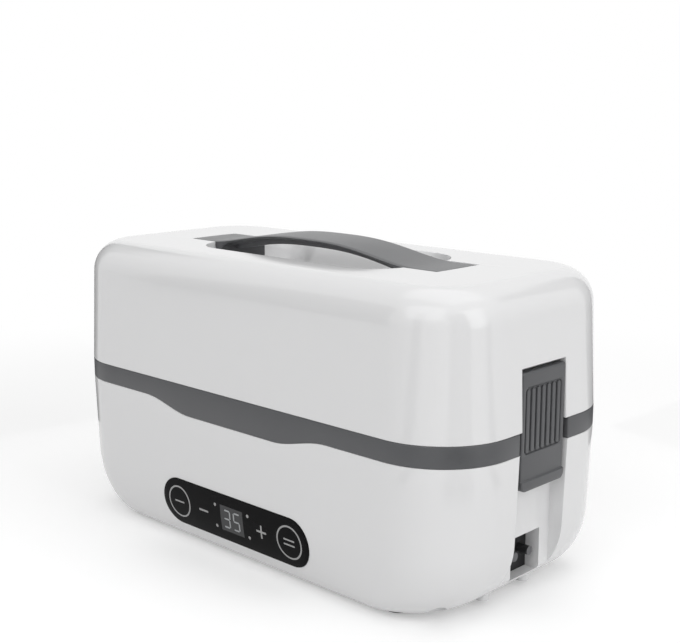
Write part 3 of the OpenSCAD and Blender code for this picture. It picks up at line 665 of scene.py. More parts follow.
def pot_steel():
    pots = settings("pots")
    return surface("PotSteel", pots.steel_colour, 0.10, metallic=1.0, lines=pots.turned_lines, bump=0.12,
                   shade=0.04, spread=0.05)


# Material, colour, roughness, grain and other values, and the CAD nodes that wear it
METAL = {"metallic": 1.0}
CAD_LOOKS = (
    ("CoverPlastic", (0.78, 0.78, 0.785), 0.42, 1800, {"bump": 0.15}, "bottom_cover"),
    ("FootRubber", (0.022, 0.022, 0.023), 0.75, 1500, {"bump": 0.3}, "rubber_feet"),
    ("ScrewSteel", (0.44, 0.44, 0.45), 0.3, 2500, METAL,
     "cover_screws case_screws pan_screws handle_screws power_board_screws control_board_screws "
     "shield_nuts touch_springs"),
    ("PinSteel", (0.36, 0.36, 0.37), 0.35, 3000, METAL, "left_latch_pin right_latch_pin"),
    # The inlet pins are metal, but their colour is painted far darker than bare steel: painted shade for the
    # shadow deep in the socket recess
    ("SocketPinsInPaintedShade", (0.13, 0.13, 0.135), 0.4, 3000, METAL, "inlet_pins"),
    ("GasketSilicone", (0.62, 0.60, 0.56), 0.6, 900, {}, "pan_gasket"),
    ("CoatedPan", (0.014, 0.014, 0.015), 0.24, 1400, {"bump": 0.12, "coat": 0.4, "spread": 0.08},
     "heating_pan"),
    ("CastAluminium", (0.52, 0.52, 0.53), 0.5, 700, {"metallic": 1.0, "bump": 0.3},
     "left_heating_plate right_heating_plate"),
    ("HeaterSheath", (0.30, 0.28, 0.26), 0.4, 900, METAL, "left_heating_ring right_heating_ring"),
    ("ShieldSheet", (0.60, 0.60, 0.60), 0.33, 500, METAL, "heat_shield"),
    ("CeramicBody", (0.55, 0.50, 0.42), 0.55, 900, {}, "thermostat"),
    ("FuseSleeve", (0.70, 0.68, 0.60), 0.5, 900, {}, "thermal_fuse"),
    ("SensorBrass", (0.60, 0.44, 0.20), 0.3, 900, METAL, "temperature_sensor"),
    ("SocketBlack", (0.006, 0.006, 0.007), 0.5, 1500, {"bump": 0.2}, "inlet_housing"),
    ("BoardGreen", (0.02, 0.12, 0.05), 0.35, 1200, {"shade": 0.15}, "power_board control_board"),
    ("RelayCase", (0.05, 0.10, 0.32), 0.35, 1500, {}, "relay"),
    ("WindingTape", (0.62, 0.45, 0.08), 0.5, 900, {}, "transformer"),
    ("CapacitorSleeve", (0.03, 0.03, 0.06), 0.3, 1500, {}, "capacitors"),
    ("LeadCover", (0.10, 0.10, 0.11), 0.5, 1500, {}, "mains_leads"),
    ("HotLeadCover", (0.42, 0.05, 0.04), 0.5, 1500, {}, "heater_leads"),
    ("SensorLeadCover", (0.70, 0.70, 0.68), 0.5, 1500, {}, "sensor_leads panel_ribbon"),
    ("DisplayFace", (0.03, 0.03, 0.032), 0.4, 1500, {}, "display_module"),
    ("LedLens", (0.70, 0.68, 0.60), 0.2, 1500, {}, "status_leds"),
)


# ---- geometry nodes

def grown(name, points, label, sizes, draw, material):
    """Plain mesh of the shape that a geometry group sets on each point.

    sizes holds the group's named inputs, and draw(tree, given) returns the shape's socket.
    """
    tree, keys, given, result = new_tree(
        "GeometryNodeTree", label,
        [("Geometry", "Geometry", None)] + [(key, "Float", value) for key, value in sizes.items()],
        [("Geometry", "Geometry")])
    dots = add(tree, "GeometryNodeInstanceOnPoints",
               [(given["Geometry"], "Points"), (draw(tree, given), "Instance")])
    real = add(tree, "GeometryNodeRealizeInstances", [(dots.outputs["Instances"], "Geometry")])
    coat = add(tree, "GeometryNodeSetMaterial", [(real.outputs["Geometry"], "Geometry")])
    coat.inputs["Material"].default_value = material
    tree.links.new(coat.outputs["Geometry"], result["Geometry"])
    mesh = bpy.data.meshes.new(name)
    mesh.from_pydata([tuple(point) for point in points], [], [])
    obj = new_object(name, mesh)
    step = obj.modifiers.new("grow", "NODES")
    step.node_group = tree
    for key, value in sizes.items():
        step[keys[key]] = value
    return baked(obj)


def draw_peg(tree, given):
    """Tapered peg."""
    cone = add(tree, "GeometryNodeMeshCone",
               [(given["Height"], "Depth"), (given["Foot"], "Radius Bottom"), (given["Tip"], "Radius Top")],
               Vertices=24)
    return cone.outputs["Mesh"]


def draw_rib(tree, given):
    """Upright rib with round ends."""
    outline = add(tree, "GeometryNodeCurvePrimitiveQuadrilateral",
                  [(given["Width"], "Width"), (given["Height"], "Height")])
    ends = add(tree, "GeometryNodeFilletCurve",
               [(outline.outputs["Curve"], "Curve"),
                (calc(tree, "MULTIPLY", given["Width"], 0.49), "Radius")], mode="POLY", Count=5)
    flat = add(tree, "GeometryNodeFillCurve", [(ends.outputs["Curve"], "Curve")], mode="NGONS")
    front = add(tree, "GeometryNodeExtrudeMesh",
                [(flat.outputs["Mesh"], "Mesh"), (given["Depth"], "Offset Scale")])
    back = add(tree, "GeometryNodeFlipFaces", [(flat.outputs["Mesh"], "Mesh")])
    both = add(tree, "GeometryNodeJoinGeometry",
               [(front.outputs["Mesh"], "Geometry"), (back.outputs["Mesh"], "Geometry")])
    whole = add(tree, "GeometryNodeMergeByDistance", [(both.outputs["Geometry"], "Geometry")],
                Distance=MERGE_DISTANCE)
    stood = add(tree, "GeometryNodeTransform", [(whole.outputs["Geometry"], "Geometry")],
                Rotation=(QUARTER, 0, QUARTER))
    return stood.outputs["Geometry"]


# ---- base

def belt_edge(x):
    """Height of the belt's lower edge at x."""
    case = settings("case")
    return Z_BELT - case.belt_dip * smooth_step((case.dip_end - abs(x)) / (case.dip_end - case.dip_flat))


def channel_floor():
    return HALF_L - settings("case").channel_depth


def drafted(rise):
    """Half length and half width of the base's drafted walls at a height above its bottom."""
    case = settings("case")
    left = 1 - rise / (Z_BELT - Z_BASE)
    return HALF_L - case.draft_end * left, HALF_W - case.draft_side * left


def rounded(angle):
    """Half length, half width, corner radius and rise of the base at an angle of its bottom rounding."""
    case = settings("case")
    rise = case.round_height * (1 - math.cos(angle))
    back = 1 - math.sin(angle)
    half_l, half_w = drafted(rise)
    return (half_l - case.round_end * back, half_w - case.round_side * back,
            mix(case.bottom_corner, case.corner_radius, math.sin(angle)), rise)


def front_wall(z, offset):
    """Y of the base's front wall at the height z, moved outwards by offset."""
    rise, bend = z - Z_BASE, settings("case").round_height
    half_w = rounded(math.acos(1 - rise / bend))[1] if rise < bend else drafted(rise)[1]
    return -(half_w + offset)


def base_rounding():
    """Outlines up the bottom rounding, and the number of the one that the channels start from."""
    low, high, halvings, below, above = 0.0, QUARTER, 40, 9, 11
    for _ in range(halvings):
        middle = (low + high) / 2
        low, high = (low, middle) if rounded(middle)[0] > channel_floor() else (middle, high)
    rows = []
    for angle in spread(0, low, below) + spread(low, QUARTER, above) + [QUARTER]:
        half_l, half_w, radius, rise = rounded(angle)
        rows.append(case_outline(half_l, half_w, radius, settings("case").channel_half, Z_BASE + rise))
    return rows, below


def base_form(bm):
    """Closed form of the bottom rounding, just inside the skin, that trims the socket's walls."""
    shrink, lift = 0.9985, 0.15 * MM
    closed_loft(bm, base_rounding()[0])
    for vert in bm.verts:
        vert.co = (shrink * vert.co.x, vert.co.y, vert.co.z + lift)


def base_skin(bm):
    """Outer skin of the base, with its flat bottom and the two end channels."""
    case = settings("case")
    rows, first_row = base_rounding()
    for part in (0.25, 0.5, 0.75, 1):
        rows.append(case_outline(*drafted(mix(case.round_height, Z_BELT - Z_BASE, part)),
                                 case.corner_radius, case.channel_half,
                                 lambda x: mix(Z_BASE + case.round_height, belt_edge(x), part)))
    rings = loft(bm, rows, range(first_row, len(rows)))
    for side, start in zip(ENDS, CHANNEL_STARTS):
        sink_channel(bm, rings, start, side * channel_floor(), first_row, len(rings) - 1)
    bm.faces.new(rings[0][::-1])


def catches(bm):
    """Ramped catch on each channel's floor, and the pips under the channels."""
    x0 = channel_floor()
    root, half_w, bevel_x, bevel_z = 0.5 * MM, 12 * MM, 0.7 * CATCH_REACH, 0.6 * MM
    profile = [(x0 - root, CATCH_FOOT - MM), (x0, CATCH_FOOT), (x0 + CATCH_REACH, CATCH_TOP - CATCH_LAND),
               (x0 + CATCH_REACH, CATCH_TOP - bevel_z), (x0 + bevel_x, CATCH_TOP), (x0 - root, CATCH_TOP)]
    pip_x, pip_y, pip_radius, pip_height = HALF_L - 18 * MM, 13.6 * MM, 3 * MM, 4 * MM
    for side in ENDS:
        add_prism(bm, [(side * x, z) for x, z in profile], along_y(-half_w), 2 * half_w)
        for y in (-pip_y, pip_y):
            add_prism(bm, arc(side * pip_x, y, pip_radius, steps=32), upright(Z_BASE), pip_height)


def socket_cuts():
    """Walls round the power socket, trimmed to the base, and the block that cuts its opening."""
    low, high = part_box("inlet_pins")
    z = (low.z + high.z) / 2
    half_w, half_h, depth, wall, sill = 9.6 * MM, 9 * MM, 6.5 * MM, 2 * MM, 2.5 * MM
    set_back, past = 0.2 * MM, 5 * MM
    x = channel_floor() - depth
    walls = block((x, -half_w - wall, z - half_h - sill),
                  (channel_floor() - set_back, half_w + wall, z + half_h + wall))
    combine(walls, [solid("form", base_form)], "INTERSECT")
    return walls, block((x - past, -half_w, z - half_h), (HALF_L + MM, half_w, z + half_h))


def panel_seat(bm):
    """Form that cuts the panel's opening through the front wall."""
    lens, gap, past = settings("controls"), 0.1 * MM, 3 * MM
    wall_patch(bm, pill_grid(LENS_HALF.x + gap, LENS_HALF.z + gap, 24, 20), past,
               lens.proud - lens.thickness)


def build_base():
    case = settings("case")
    shell = round_edges(thicken(solid("skin", base_skin), case.wall), case.edge_round, 3, 35)
    for vert in shell.data.vertices:
        vert.co.x = max(-HALF_L, min(HALF_L, vert.co.x))
    walls, opening = socket_cuts()
    cover = Vector((64 * MM, 29 * MM, Z_BASE + 5 * MM))
    combine(shell, [solid("seat", panel_seat), block((-cover.x, -cover.y, 0), cover)])
    feet = (79.5 * MM, 38.5 * MM, 6.05 * MM, MM)
    screws = (HALF_L - 19 * MM, HALF_W - 17.6 * MM, 3.2 * MM, 9.5 * MM)
    for x, y, radius, depth in (feet, screws):
        combine(shell, [disc(sx * x, sy * y, radius, 0, Z_BASE + depth) for sx in ENDS for sy in ENDS])
    combine(shell, [walls], "UNION")
    combine(shell, [opening])
    base = joined("base_body", [shell, mesh_object("catches", catches)], white_plastic())
    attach(base, "base")
    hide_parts("base_shell")


# ---- deck

def belt_plan(inset):
    """Plan of the belt, with a notch in the middle of each end, drawn in by inset."""
    case = settings("case")
    half_l, half_w, radius = HALF_L - inset, HALF_W - inset, case.corner_radius - inset
    notch, notch_x = case.channel_half + inset, channel_floor() - inset
    right_end = [(half_l, radius - half_w), (half_l, -notch), (notch_x, -notch), (notch_x, notch),
                 (half_l, notch)]
    return case_plan(right_end, half_l, half_w, radius)


def wells_plan(steps=72):
    """Outline of the two round wells and the neck that joins them."""
    neck, play = 30.5 * MM, 0.8 * MM
    well = settings("pots").body_radius + play
    nose = (POT_AXIS ** 2 + neck ** 2 - well ** 2) / (2 * (well - neck))
    turn = math.atan2(neck + nose, -POT_AXIS)
    plan = arc(POT_AXIS, 0, well, -turn, turn, steps)
    plan += arc(0, neck + nose, nose, turn - math.pi, -turn, steps // 4)
    plan += arc(-POT_AXIS, 0, well, math.pi - turn, math.pi + turn, steps)
    return plan + arc(0, -neck - nose, nose, turn, math.pi - turn, steps // 4)


def deck_plate(bm):
    """The belt, its rim and the deck inside it with the opening of the wells."""
    rim, plate = 2 * MM, 2.5 * MM
    outer, inner, wells = belt_plan(0), belt_plan(rim), wells_plan()

    def line(plan, height):
        return [bm.verts.new(point) for point in raised(plan, height)]

    skirt, top = line(outer, belt_edge), line(outer, Z_RIM)
    crest, foot = line(inner, Z_RIM), line(inner, Z_DECK)
    under, hem = line(inner, Z_DECK - plate), line(inner, belt_edge)
    well_top, well_low = line(wells, Z_DECK), line(wells, Z_DECK - plate)
    for lower, upper in ((skirt, top), (top, crest), (crest, foot), (under, hem), (hem, skirt),
                         (well_top, well_low)):
        ring_faces(bm, lower, upper)
    fill_between(bm, foot, well_top)
    fill_between(bm, under, well_low)


# Places of the pegs on one half of the deck. A half turn gives the others.
DECK_PEGS = ((7.4 * MM - HALF_L, 30.4 * MM), (7.1 * MM - HALF_L, -20.2 * MM),
             (-66.5 * MM, 6.4 * MM - HALF_W), (-19.5 * MM, 7.6 * MM - HALF_W), (29 * MM, 9 * MM - HALF_W),
             (76 * MM, 7.4 * MM - HALF_W))


def build_deck():
    plate = round_edges(solid("plate", deck_plate), settings("case").edge_round, 3, 35)
    root = 0.3 * MM
    places = [(side * x, side * y, Z_DECK - root) for side in ENDS for x, y in DECK_PEGS]
    sizes = {"Height": 4.8 * MM, "Foot": 1.5 * MM, "Tip": 0.55 * MM}
    pegs = grown("pegs", places, "TaperedPegs", sizes, draw_peg, grey_plastic())
    tray = joined("deck_and_belt", [plate, pegs], grey_plastic())
    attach(tray, "base")
    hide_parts("tray_rim")


# ---- lid

def recess_row(angle):
    """Outline of the finger recess at an angle of its rounding, with gentler walls in the middle."""
    grip = settings("handle")
    reach_l, reach_w, mark, lean, hollow, fade_end, fade = (
        value * MM for value in (16, 11, 3, 12, 8, 50, 24))
    turned_in = 1 - math.cos(angle)
    half_w = grip.recess_half_width - reach_w * turned_in
    row = case_outline(grip.recess_half_length - reach_l * turned_in, half_w,
                       grip.recess_corner - reach_w * turned_in, mark,
                       Z_LID - grip.recess_depth * math.sin(angle))
    gentle = lean * math.sin(angle) - hollow * turned_in
    for point in row:
        point.y *= 1 - gentle * smooth_step((fade_end - abs(point.x)) / fade) / half_w
    return row


def lid_skin(bm):
    """Outer skin of the lid, with the latch channels in its ends and the finger recess in its top."""
    case = settings("case")
    mark, z_roof, wall_rows = LATCH_HIGH.y + 0.4 * MM, LATCH_HIGH.z + 1.64 * MM, 6
    z_round = Z_LID - case.lid_edge
    levels = [(case.lid_draft * (z - Z_RIM) / (z_round - Z_RIM), z)
              for z in spread(Z_RIM, z_roof, wall_rows) + spread(z_roof, z_round, 4)]
    levels += [(case.lid_draft + case.lid_edge * (1 - math.cos(a)), z_round + case.lid_edge * math.sin(a))
               for a in quarter(12)]
    rows = [case_outline(HALF_L - back, HALF_W - back, case.corner_radius - back, mark, z)
            for back, z in levels]
    rings = loft(bm, rows + [recess_row(a) for a in quarter(12)], range(wall_rows))
    for side, start in zip(ENDS, CHANNEL_STARTS):
        edge = sink_channel(bm, rings, start, side * channel_floor(), 0, wall_rows)
        strip_faces(bm, edge, rings[wall_rows][start:start + END_MARKED + 1])
    bm.faces.new(rings[-1])


def lid_lip(bm):
    """Lip that drops inside the belt, one closed length along the front and one along the rear."""
    radius = settings("case").corner_radius
    flat_x, flat_y, stop = HALF_L - radius, HALF_W - radius, 23.5 * MM
    inset, thick, low, high = 2.4 * MM, 1.6 * MM, Z_RIM - 3.4 * MM, Z_RIM + 4 * MM
    for side in ENDS:
        strips = []
        for back, z in ((inset, low), (inset + thick, low), (inset + thick, high), (inset, high)):
            plan = [(HALF_L - back, stop)]
            plan += rear_side(flat_x, flat_y, radius - back, HALF_W - back, 30)
            plan += [(back - HALF_L, flat_y), (back - HALF_L, stop)]
            strips.append([bm.verts.new((side * x, side * y, z)) for x, y in plan])
        for strip, following in zip(strips, strips[1:] + strips[:1]):
            strip_faces(bm, strip, following)
        bm.faces.new([strip[0] for strip in strips])
        bm.faces.new([strip[-1] for strip in strips][::-1])


def build_lid():
    case, grip = settings("case"), settings("handle")
    play, hair = 0.15 * MM, 0.05 * MM
    inner, leg_x, plate_x, grip_half = 53.8 * MM, 60.2 * MM, GRIP_HIGH.x + play, GRIP_HIGH.y + play
    shell = thicken(solid("skin", lid_skin), case.wall)
    bevel_near(shell, lambda p: p.z < Z_LID - case.lid_edge, case.edge_round, 3)
    bevel_near(shell, lambda p: p.z > Z_LID - 0.01 * MM, 0.35 * MM, 2)
    combine(shell, [end_block(side, inner, outer, grip_half, Z_LID - depth, Z_LID + MM)
                    for side in ENDS for outer, depth in ((leg_x, grip.leg_depth),
                                                          (plate_x, grip.plate_depth))])
    bevel_near(shell, lambda p: p.z > Z_LID - hair and abs(p.y) < grip_half + 2 * hair
               and abs(p.x) > inner - MM, 0.25 * MM, 2)
    boss = (56 * MM, 62.5 * MM, 15 * MM, Z_LID - 11.5 * MM, Z_LID - 9 * MM)
    bosses = [end_block(side, *boss) for side in ENDS]
    lid = even_shading(joined("lid_body", [shell, solid("lip", lid_lip)] + bosses, white_plastic()))
    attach(lid, "lid")
    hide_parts("lid_shell")


# ---- handle

def arch_top(x):
    """Height of the handle's upper curve at x."""
    flatness = 1.37
    part = min(1.0, abs(x) / settings("handle").arch_half) ** flatness
    return Z_LID + (GRIP_HIGH.z - Z_LID) * math.cos(QUARTER * part) ** 2


def grip_section(x, bottom, core=0):
    """Closed section of the handle at x: crowned top, rounded corners and a thicker core below."""
    width, edge, crown, edge_round, steps = GRIP_HIGH.y, 1.5 * MM, 0.15 * MM, 0.4 * MM, 24
    top, thin = arch_top(x), 0.72 * core
    points = []
    for i in range(steps + 1):
        y = mix(-width, width, i / steps)
        near = max(0.0, abs(y) - (width - edge)) / edge
        points.append((x, y, top - crown * (y / width) ** 2 - edge_round * near ** 3))
    below = [(width, thin + edge_round), (width - edge_round, thin), (width - 3 * MM, 0.6 * thin),
             (7.5 * MM, 0), (6.5 * MM, -core)]
    below += [(-y, rise) for y, rise in reversed(below)]
    return points + [(x, y, bottom + rise) for y, rise in below]


def handle_form(bm):
    """The arched grip with its core, a leg at each end and the plates that lie in the lid."""
    grip = settings("handle")
    inner, middle, outer, gap = 54 * MM, 57 * MM, 60 * MM, 0.1 * MM
    core, core_end, swell = 2 * MM, 4 * MM, 0.8 * MM
    leg, plate = Z_LID - grip.leg_depth + gap, Z_LID - grip.plate_depth + gap
    arch = []
    for x in spread(-inner, inner, 72) + [inner]:
        underside = arch_top(x) - grip.grip_thickness - swell * (abs(x) / grip.arch_half) ** 3
        arch.append(grip_section(x, underside, core * smooth_step((inner - abs(x)) / core_end)))
    right = [(inner, leg), (middle, leg), (outer, leg), (outer, plate)]
    right += [(x, plate) for x in spread(61 * MM, GRIP_HIGH.x, 10) + [GRIP_HIGH.x]]
    left = [grip_section(-x, z) for x, z in reversed(right)]
    closed_loft(bm, left + arch + [grip_section(x, z) for x, z in right])


def build_handle():
    handle = round_edges(solid("handle_body", handle_form), 0.3 * MM, 2, 50)
    painted(handle, satin_plastic())
    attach(handle, "lid")
    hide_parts("carry_handle")


# ---- latches

def latch_section(z):
    """Inner x, outer x and half width of the latch's body at the height z."""
    low, top = LATCH_LOW.z, LATCH_HIGH.z
    edge, foot, barrel, body, lip, step = (value * MM for value in (0.8, 3, 3, 3.8, 4, 0.6))
    back = LATCH_HIGH.x - body - math.sqrt(max(0.0, barrel ** 2 - (z - (top - barrel)) ** 2))
    out = LATCH_FACE + edge * (1 - smooth_step((z - low - lip) / step))
    out -= fall(low + edge - z, edge) + fall(z - top + edge, edge)
    return back, out, LATCH_HIGH.y - fall(low + foot - z, foot)


def latch_body(bm):
    low, top, edge, barrel = LATCH_LOW.z, LATCH_HIGH.z, 0.8 * MM, 3 * MM
    levels = [low + edge * (1 - math.cos(a)) for a in spread(0, QUARTER, 5)]
    levels += [low + part * MM for part in (0.8, 1.4, 2.2, 3.0, 3.9, 4.0, 4.15, 4.3, 4.45, 4.6, 4.7)]
    levels += spread(low + 5 * MM, top - 2 * barrel, 12)
    levels += [top - barrel - barrel * math.cos(a) for a in spread(0, math.pi, 16)] + [top]
    rows = []
    for z in levels:
        back, out, half = latch_section(z)
        rows.append([(x, y, z) for x, y in rounded_box(back, out, -half, half, 0.6 * MM, 4)])
    closed_loft(bm, rows)


def latch_hook(bm):
    """Hook behind the latch, which follows the slope of the catch."""
    x0, half_w = LATCH_FACE - 3 * MM, 11 * MM
    x_tip, x_slope = channel_floor() + 0.8 * MM, channel_floor() + 0.35 * MM
    z0, z_tip = (CATCH_FOOT + (x - x_slope) * CATCH_SLOPE for x in (x0, x_tip))
    low, low_tip = CATCH_FOOT - 4 * MM, CATCH_FOOT - 3 * MM
    profile = [(x0 + MM, z0), (x0, z0), (x_tip, z_tip), (x_tip, low_tip), (x0, low), (x0 + MM, low)]
    add_prism(bm, profile, along_y(-half_w), 2 * half_w)


def latch_parts():
    """Latch body with its sunk field, the ribs in the field and the hook behind, at the right end."""
    pitch, count, sunk, root, slack = 3.4 * MM, 7, 0.8 * MM, 0.2 * MM, 0.05 * MM
    low, high = Z_RIM - 9.5 * MM, Z_RIM + 16.5 * MM
    middle, half_w, half_h = (low + high) / 2, pitch * count / 2, (high - low) / 2
    body = solid("latch", latch_body)
    field = [(y, z + middle) for y, z in rounded_box(-half_w, half_w, -half_h, half_h, 1.6 * MM, 8)]
    combine(body, [solid("field", add_prism, field, along_x(LATCH_FACE - sunk), 3 * MM)])
    bevel_near(body, lambda p: p.x > LATCH_FACE - slack and abs(p.y) < half_w + slack
               and low - slack < p.z < high + slack, 0.5 * MM, 3)
    places = [(LATCH_FACE - sunk - root, (i - (count - 1) / 2) * pitch, middle) for i in range(count)]
    sizes = {"Width": 2.1 * MM, "Height": high - low - 0.8 * MM, "Depth": 0.95 * MM}
    ribs = grown("ribs", places, "GripRibs", sizes, draw_rib, grey_plastic())
    return [body, round_edges(ribs, 0.55 * MM, 3, 50), solid("hook", latch_hook)]


def mirrored(bm, obj):
    """Draws obj reflected in X."""
    bm.from_mesh(obj.data)
    for vert in bm.verts:
        vert.co.x = -vert.co.x
    bmesh.ops.reverse_faces(bm, faces=bm.faces)


def build_latches():
    right = joined("latch_right", latch_parts(), grey_plastic())
    left = painted(mesh_object("latch_left", mirrored, right), grey_plastic())
    for obj, node in ((right, "right_latch"), (left, "left_latch")):
        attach(obj, node)
        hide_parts(node)


# ---- pots

def pot_side(shift, top):
    """Radius and height from the middle of the bottom to the top of the side, moved out by shift."""
    pots = settings("pots")
    big = pots.bottom_round
    points = [(pots.foot_radius + shift - big * (1 - math.sin(a)),
               big * (1 - math.cos(a)) - shift * math.cos(a)) for a in quarter(12)]
    return points + [(mix(pots.foot_radius, pots.body_radius, part) + shift, mix(big, top, part))
                     for part in (0.25, 0.5, 0.75)]


def pot_profile():
    """Radius and height along the pot, from the edge of its underside round the rim to the inside."""
    pots = settings("pots")
    rim, height = (POT_HIGH.x - POT_LOW.x) / 2, POT_HIGH.z - POT_LOW.z
    fillet, lip = 1.1 * MM, 0.7 * MM
    neck = height - 2 * lip

    def flare(radius, top, angles):
        return [(radius + fillet * (1 - math.cos(a)), top - fillet * (1 - math.sin(a))) for a in angles]

    outside = pot_side(0, neck - fillet) + flare(pots.body_radius, neck, spread(0, QUARTER, 5))
    curl = arc(rim - lip, height - lip, lip, -QUARTER, QUARTER, 10)
    inside = pot_side(-pots.wall, height - fillet)
    inside += flare(pots.body_radius - pots.wall, height, spread(0, QUARTER, 5) + [QUARTER])
    return outside + curl + inside[::-1]


def pot_form(bm, axis):
    rows = [[(x, y, POT_LOW.z + height) for x, y in arc(axis, 0, radius, steps=160)]
            for radius, height in pot_profile()]
    rings = loft(bm, rows)
    for ring, height in ((rings[0], 0), (rings[-1], settings("pots").wall)):
        centre = bm.verts.new((axis, 0, POT_LOW.z + height))
        for vert, following in zip(ring, ring[1:] + ring[:1]):
            bm.faces.new((vert, following, centre))


def build_pots():
    for side, node in ((-1, "left_pot"), (1, "right_pot")):
        pot = painted(solid(node + "_steel", pot_form, side * POT_AXIS), pot_steel())
        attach(pot, node)
        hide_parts(node)


# ---- control panel

INK = 0.1 * MM

# Segments lit for each digit: top, upper right, lower right, bottom, lower left, upper left, middle
LIT = ("1111110", "0110000", "1101101", "1111001", "0110011", "1011011", "1011111", "1110000", "1111111",
       "1111011")


def pill_grid(half_l, half_h, across, up):
    """Rows of points over a pill-shaped outline in the XZ plane, from the bottom up."""
    rows = []
    for i in range(up + 1):
        z = -half_h * math.cos(math.pi * i / up)
        reach = half_l - half_h + math.sqrt(max(0.0, half_h * half_h - z * z))
        rows.append([(reach * (2 * j / across - 1), Z_PANEL + z) for j in range(across + 1)])
    return rows


def wall_patch(bm, rows, front, back, closed=False):
    """Closed thin solid over a grid of (x, z) points, following the front wall between two offsets."""
    outer, inner = ([[bm.verts.new((x, front_wall(z, offset), z)) for x, z in row] for row in rows]
                    for offset in (front, back))
    link = ring_faces if closed else strip_faces
    for i in range(len(rows) - 1):
        link(bm, outer[i], outer[i + 1])
        link(bm, inner[i + 1], inner[i])
    link(bm, inner[0], outer[0])
    link(bm, outer[-1], inner[-1])
    if not closed:
        strip_faces(bm, [row[0] for row in outer], [row[0] for row in inner])
        strip_faces(bm, [row[-1] for row in inner], [row[-1] for row in outer])


def panel_lens(bm):
    lens = settings("controls")
    wall_patch(bm, pill_grid(LENS_HALF.x, LENS_HALF.z, 40, 24), lens.proud, lens.proud - lens.thickness)


def ring_mark(bm, x, z, outer, inner, front, steps):
    wall_patch(bm, [arc(x, z, radius, steps=steps) for radius in (inner, outer)], front, front - INK, True)


def bar_mark(bm, x, z, width, height, front):
    """Upright rectangle that follows the wall's curve."""
    count = max(1, round(height / MM))
    rows = [[(x + u * width / 2, z + height * (i / count - 0.5)) for u in (-1, 1)] for i in range(count + 1)]
    wall_patch(bm, rows, front, front - INK)


def key_marks(bm, front):
    """Rings and signs of the keys, and the dots beside the display."""
    lens = settings("controls")
    far, near, dot_x, stroke, pinhole = lens.far_key, lens.near_key, 10.6, 0.75 * MM, 0.01 * MM
    for side in ENDS:
        ring_mark(bm, side * far, Z_PANEL, lens.key_radius, lens.key_radius - stroke, front, 64)
        for z in (5, -5):
            ring_mark(bm, side * dot_x * MM, Z_PANEL + z * MM, stroke, pinhole, front, 24)
    for x, z, width, height in (
            (-far, 0, 6.4, 0.7), (far, 1.1, 6.4, 0.7), (far, -1.1, 6.4, 0.7), (-near, 0, 6, 0.9),
            (near, 0, 6, 0.9), (near, 1.725, 0.9, 2.55), (near, -1.725, 0.9, 2.55)):
        bar_mark(bm, x, Z_PANEL + z * MM, width * MM, height * MM, front)


def window_mark(bm, front):
    bar_mark(bm, 0, Z_PANEL, 14.6 * MM, 11.8 * MM, front)


def segment_rows(x, z, length, thick, level):
    """Hexagon of one display segment, lying flat where level is true and upright otherwise."""
    half, t = length / 2, thick / 2
    rows = [[(t - half, -t), (half - t, -t)], [(-half, 0), (half, 0)], [(t - half, t), (half - t, t)]]
    if level:
        return [[(x + u, z + v) for u, v in row] for row in rows]
    return [[(x - v, z + u) for u, v in row] for row in rows]


def digit_marks(bm, front):
    """The number on the display, in slanted seven-segment digits."""
    digits = settings("controls").digits
    w, h, thick, gap, slant, spacing = 3.7 * MM, 3.9 * MM, 0.72 * MM, 0.25 * MM, 0.08, 3.1
    segments = ((0, h, True), (w / 2, h / 2, False), (w / 2, -h / 2, False), (0, -h, True),
                (-w / 2, -h / 2, False), (-w / 2, h / 2, False), (0, 0, True))
    for x, digit in ((-spacing * MM, digits // 10), (spacing * MM, digits % 10)):
        for (dx, dz, level), lit in zip(segments, LIT[digit]):
            if lit == "1":
                rows = segment_rows(x + dx + slant * dz, Z_PANEL + dz, (w if level else h) - gap, thick,
                                    level)
                wall_patch(bm, rows, front, front - INK)


def build_panel():
    lens = settings("controls")
    cover = round_edges(solid("panel_cover", panel_lens), 0.25 * MM, 3, 50)
    painted(cover, surface("PanelGloss", lens.lens_colour, 0.14, bump=0.005, spread=0.02, specular=0.05))
    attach(cover, "base")
    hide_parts("panel_lens")

    ink = surface("PrintedMarks", lens.mark_colour, 0.4, bump=0.02)
    window = surface("DisplayWindow", (0.045, 0.046, 0.048), 0.2, bump=0.01, specular=0.25)
    lit = surface("LitSegments", (0.30, 0.31, 0.32), 0.4, bump=0.01, glow=0.15)
    layer = 0.03 * MM
    front = lens.proud + layer
    for name, draw, place, material, slot in (
            ("panel_marks", key_marks, front, ink, "panel_gloss"),
            ("display_window", window_mark, front, window, "panel_gloss"),
            ("display_digits", digit_marks, front + layer, lit, "led_lens")):
        obj = painted(solid(name, draw, place), material)
        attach(obj, "base")


# ---- inner pieces

def dress_cad():
    """Gives each CAD node that stays in view its own material."""
    for name, tint, roughness, grain, values, nodes in CAD_LOOKS:
        material = surface(name, tint, roughness, grain, **values)
        for node in nodes.split():
            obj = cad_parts.get(node)
            if obj is None:
                raise RuntimeError("The frame has no node " + node)
            if not obj.material_slots:
                obj.data.materials.append(material)
            for slot in obj.material_slots:
                slot.material = material


# ---- stage

def facing(place, aim):
    return (Vector(aim) - Vector(place)).to_track_quat("-Z", "Y").to_euler()


def lamp(name, place, size, power):
    data = bpy.data.lights.new(name, "AREA")
    data.shape = "RECTANGLE"
    data.size, data.size_y = size
    data.energy = power
    obj = new_object(name, data)
    obj.location, obj.rotation_euler = place, facing(place, (0, 0, 0.07))


def seen_rays(tree):
    """1 for rays from the camera and for reflected rays, 0 for the rest."""
    rays = add(tree, "ShaderNodeLightPath").outputs
    return calc(tree, "MAXIMUM", rays["Is Camera Ray"], rays["Is Glossy Ray"])


def blend(tree, amount, near, far, output):
    """Mixes two shaders by an amount into the tree's output node."""
    mixed = add(tree, "ShaderNodeMixShader",
                [(amount, 0), (near.outputs[0], 1), (far.outputs[0], 2)])
    tree.links.new(mixed.outputs[0], tree.nodes[output].inputs["Surface"])


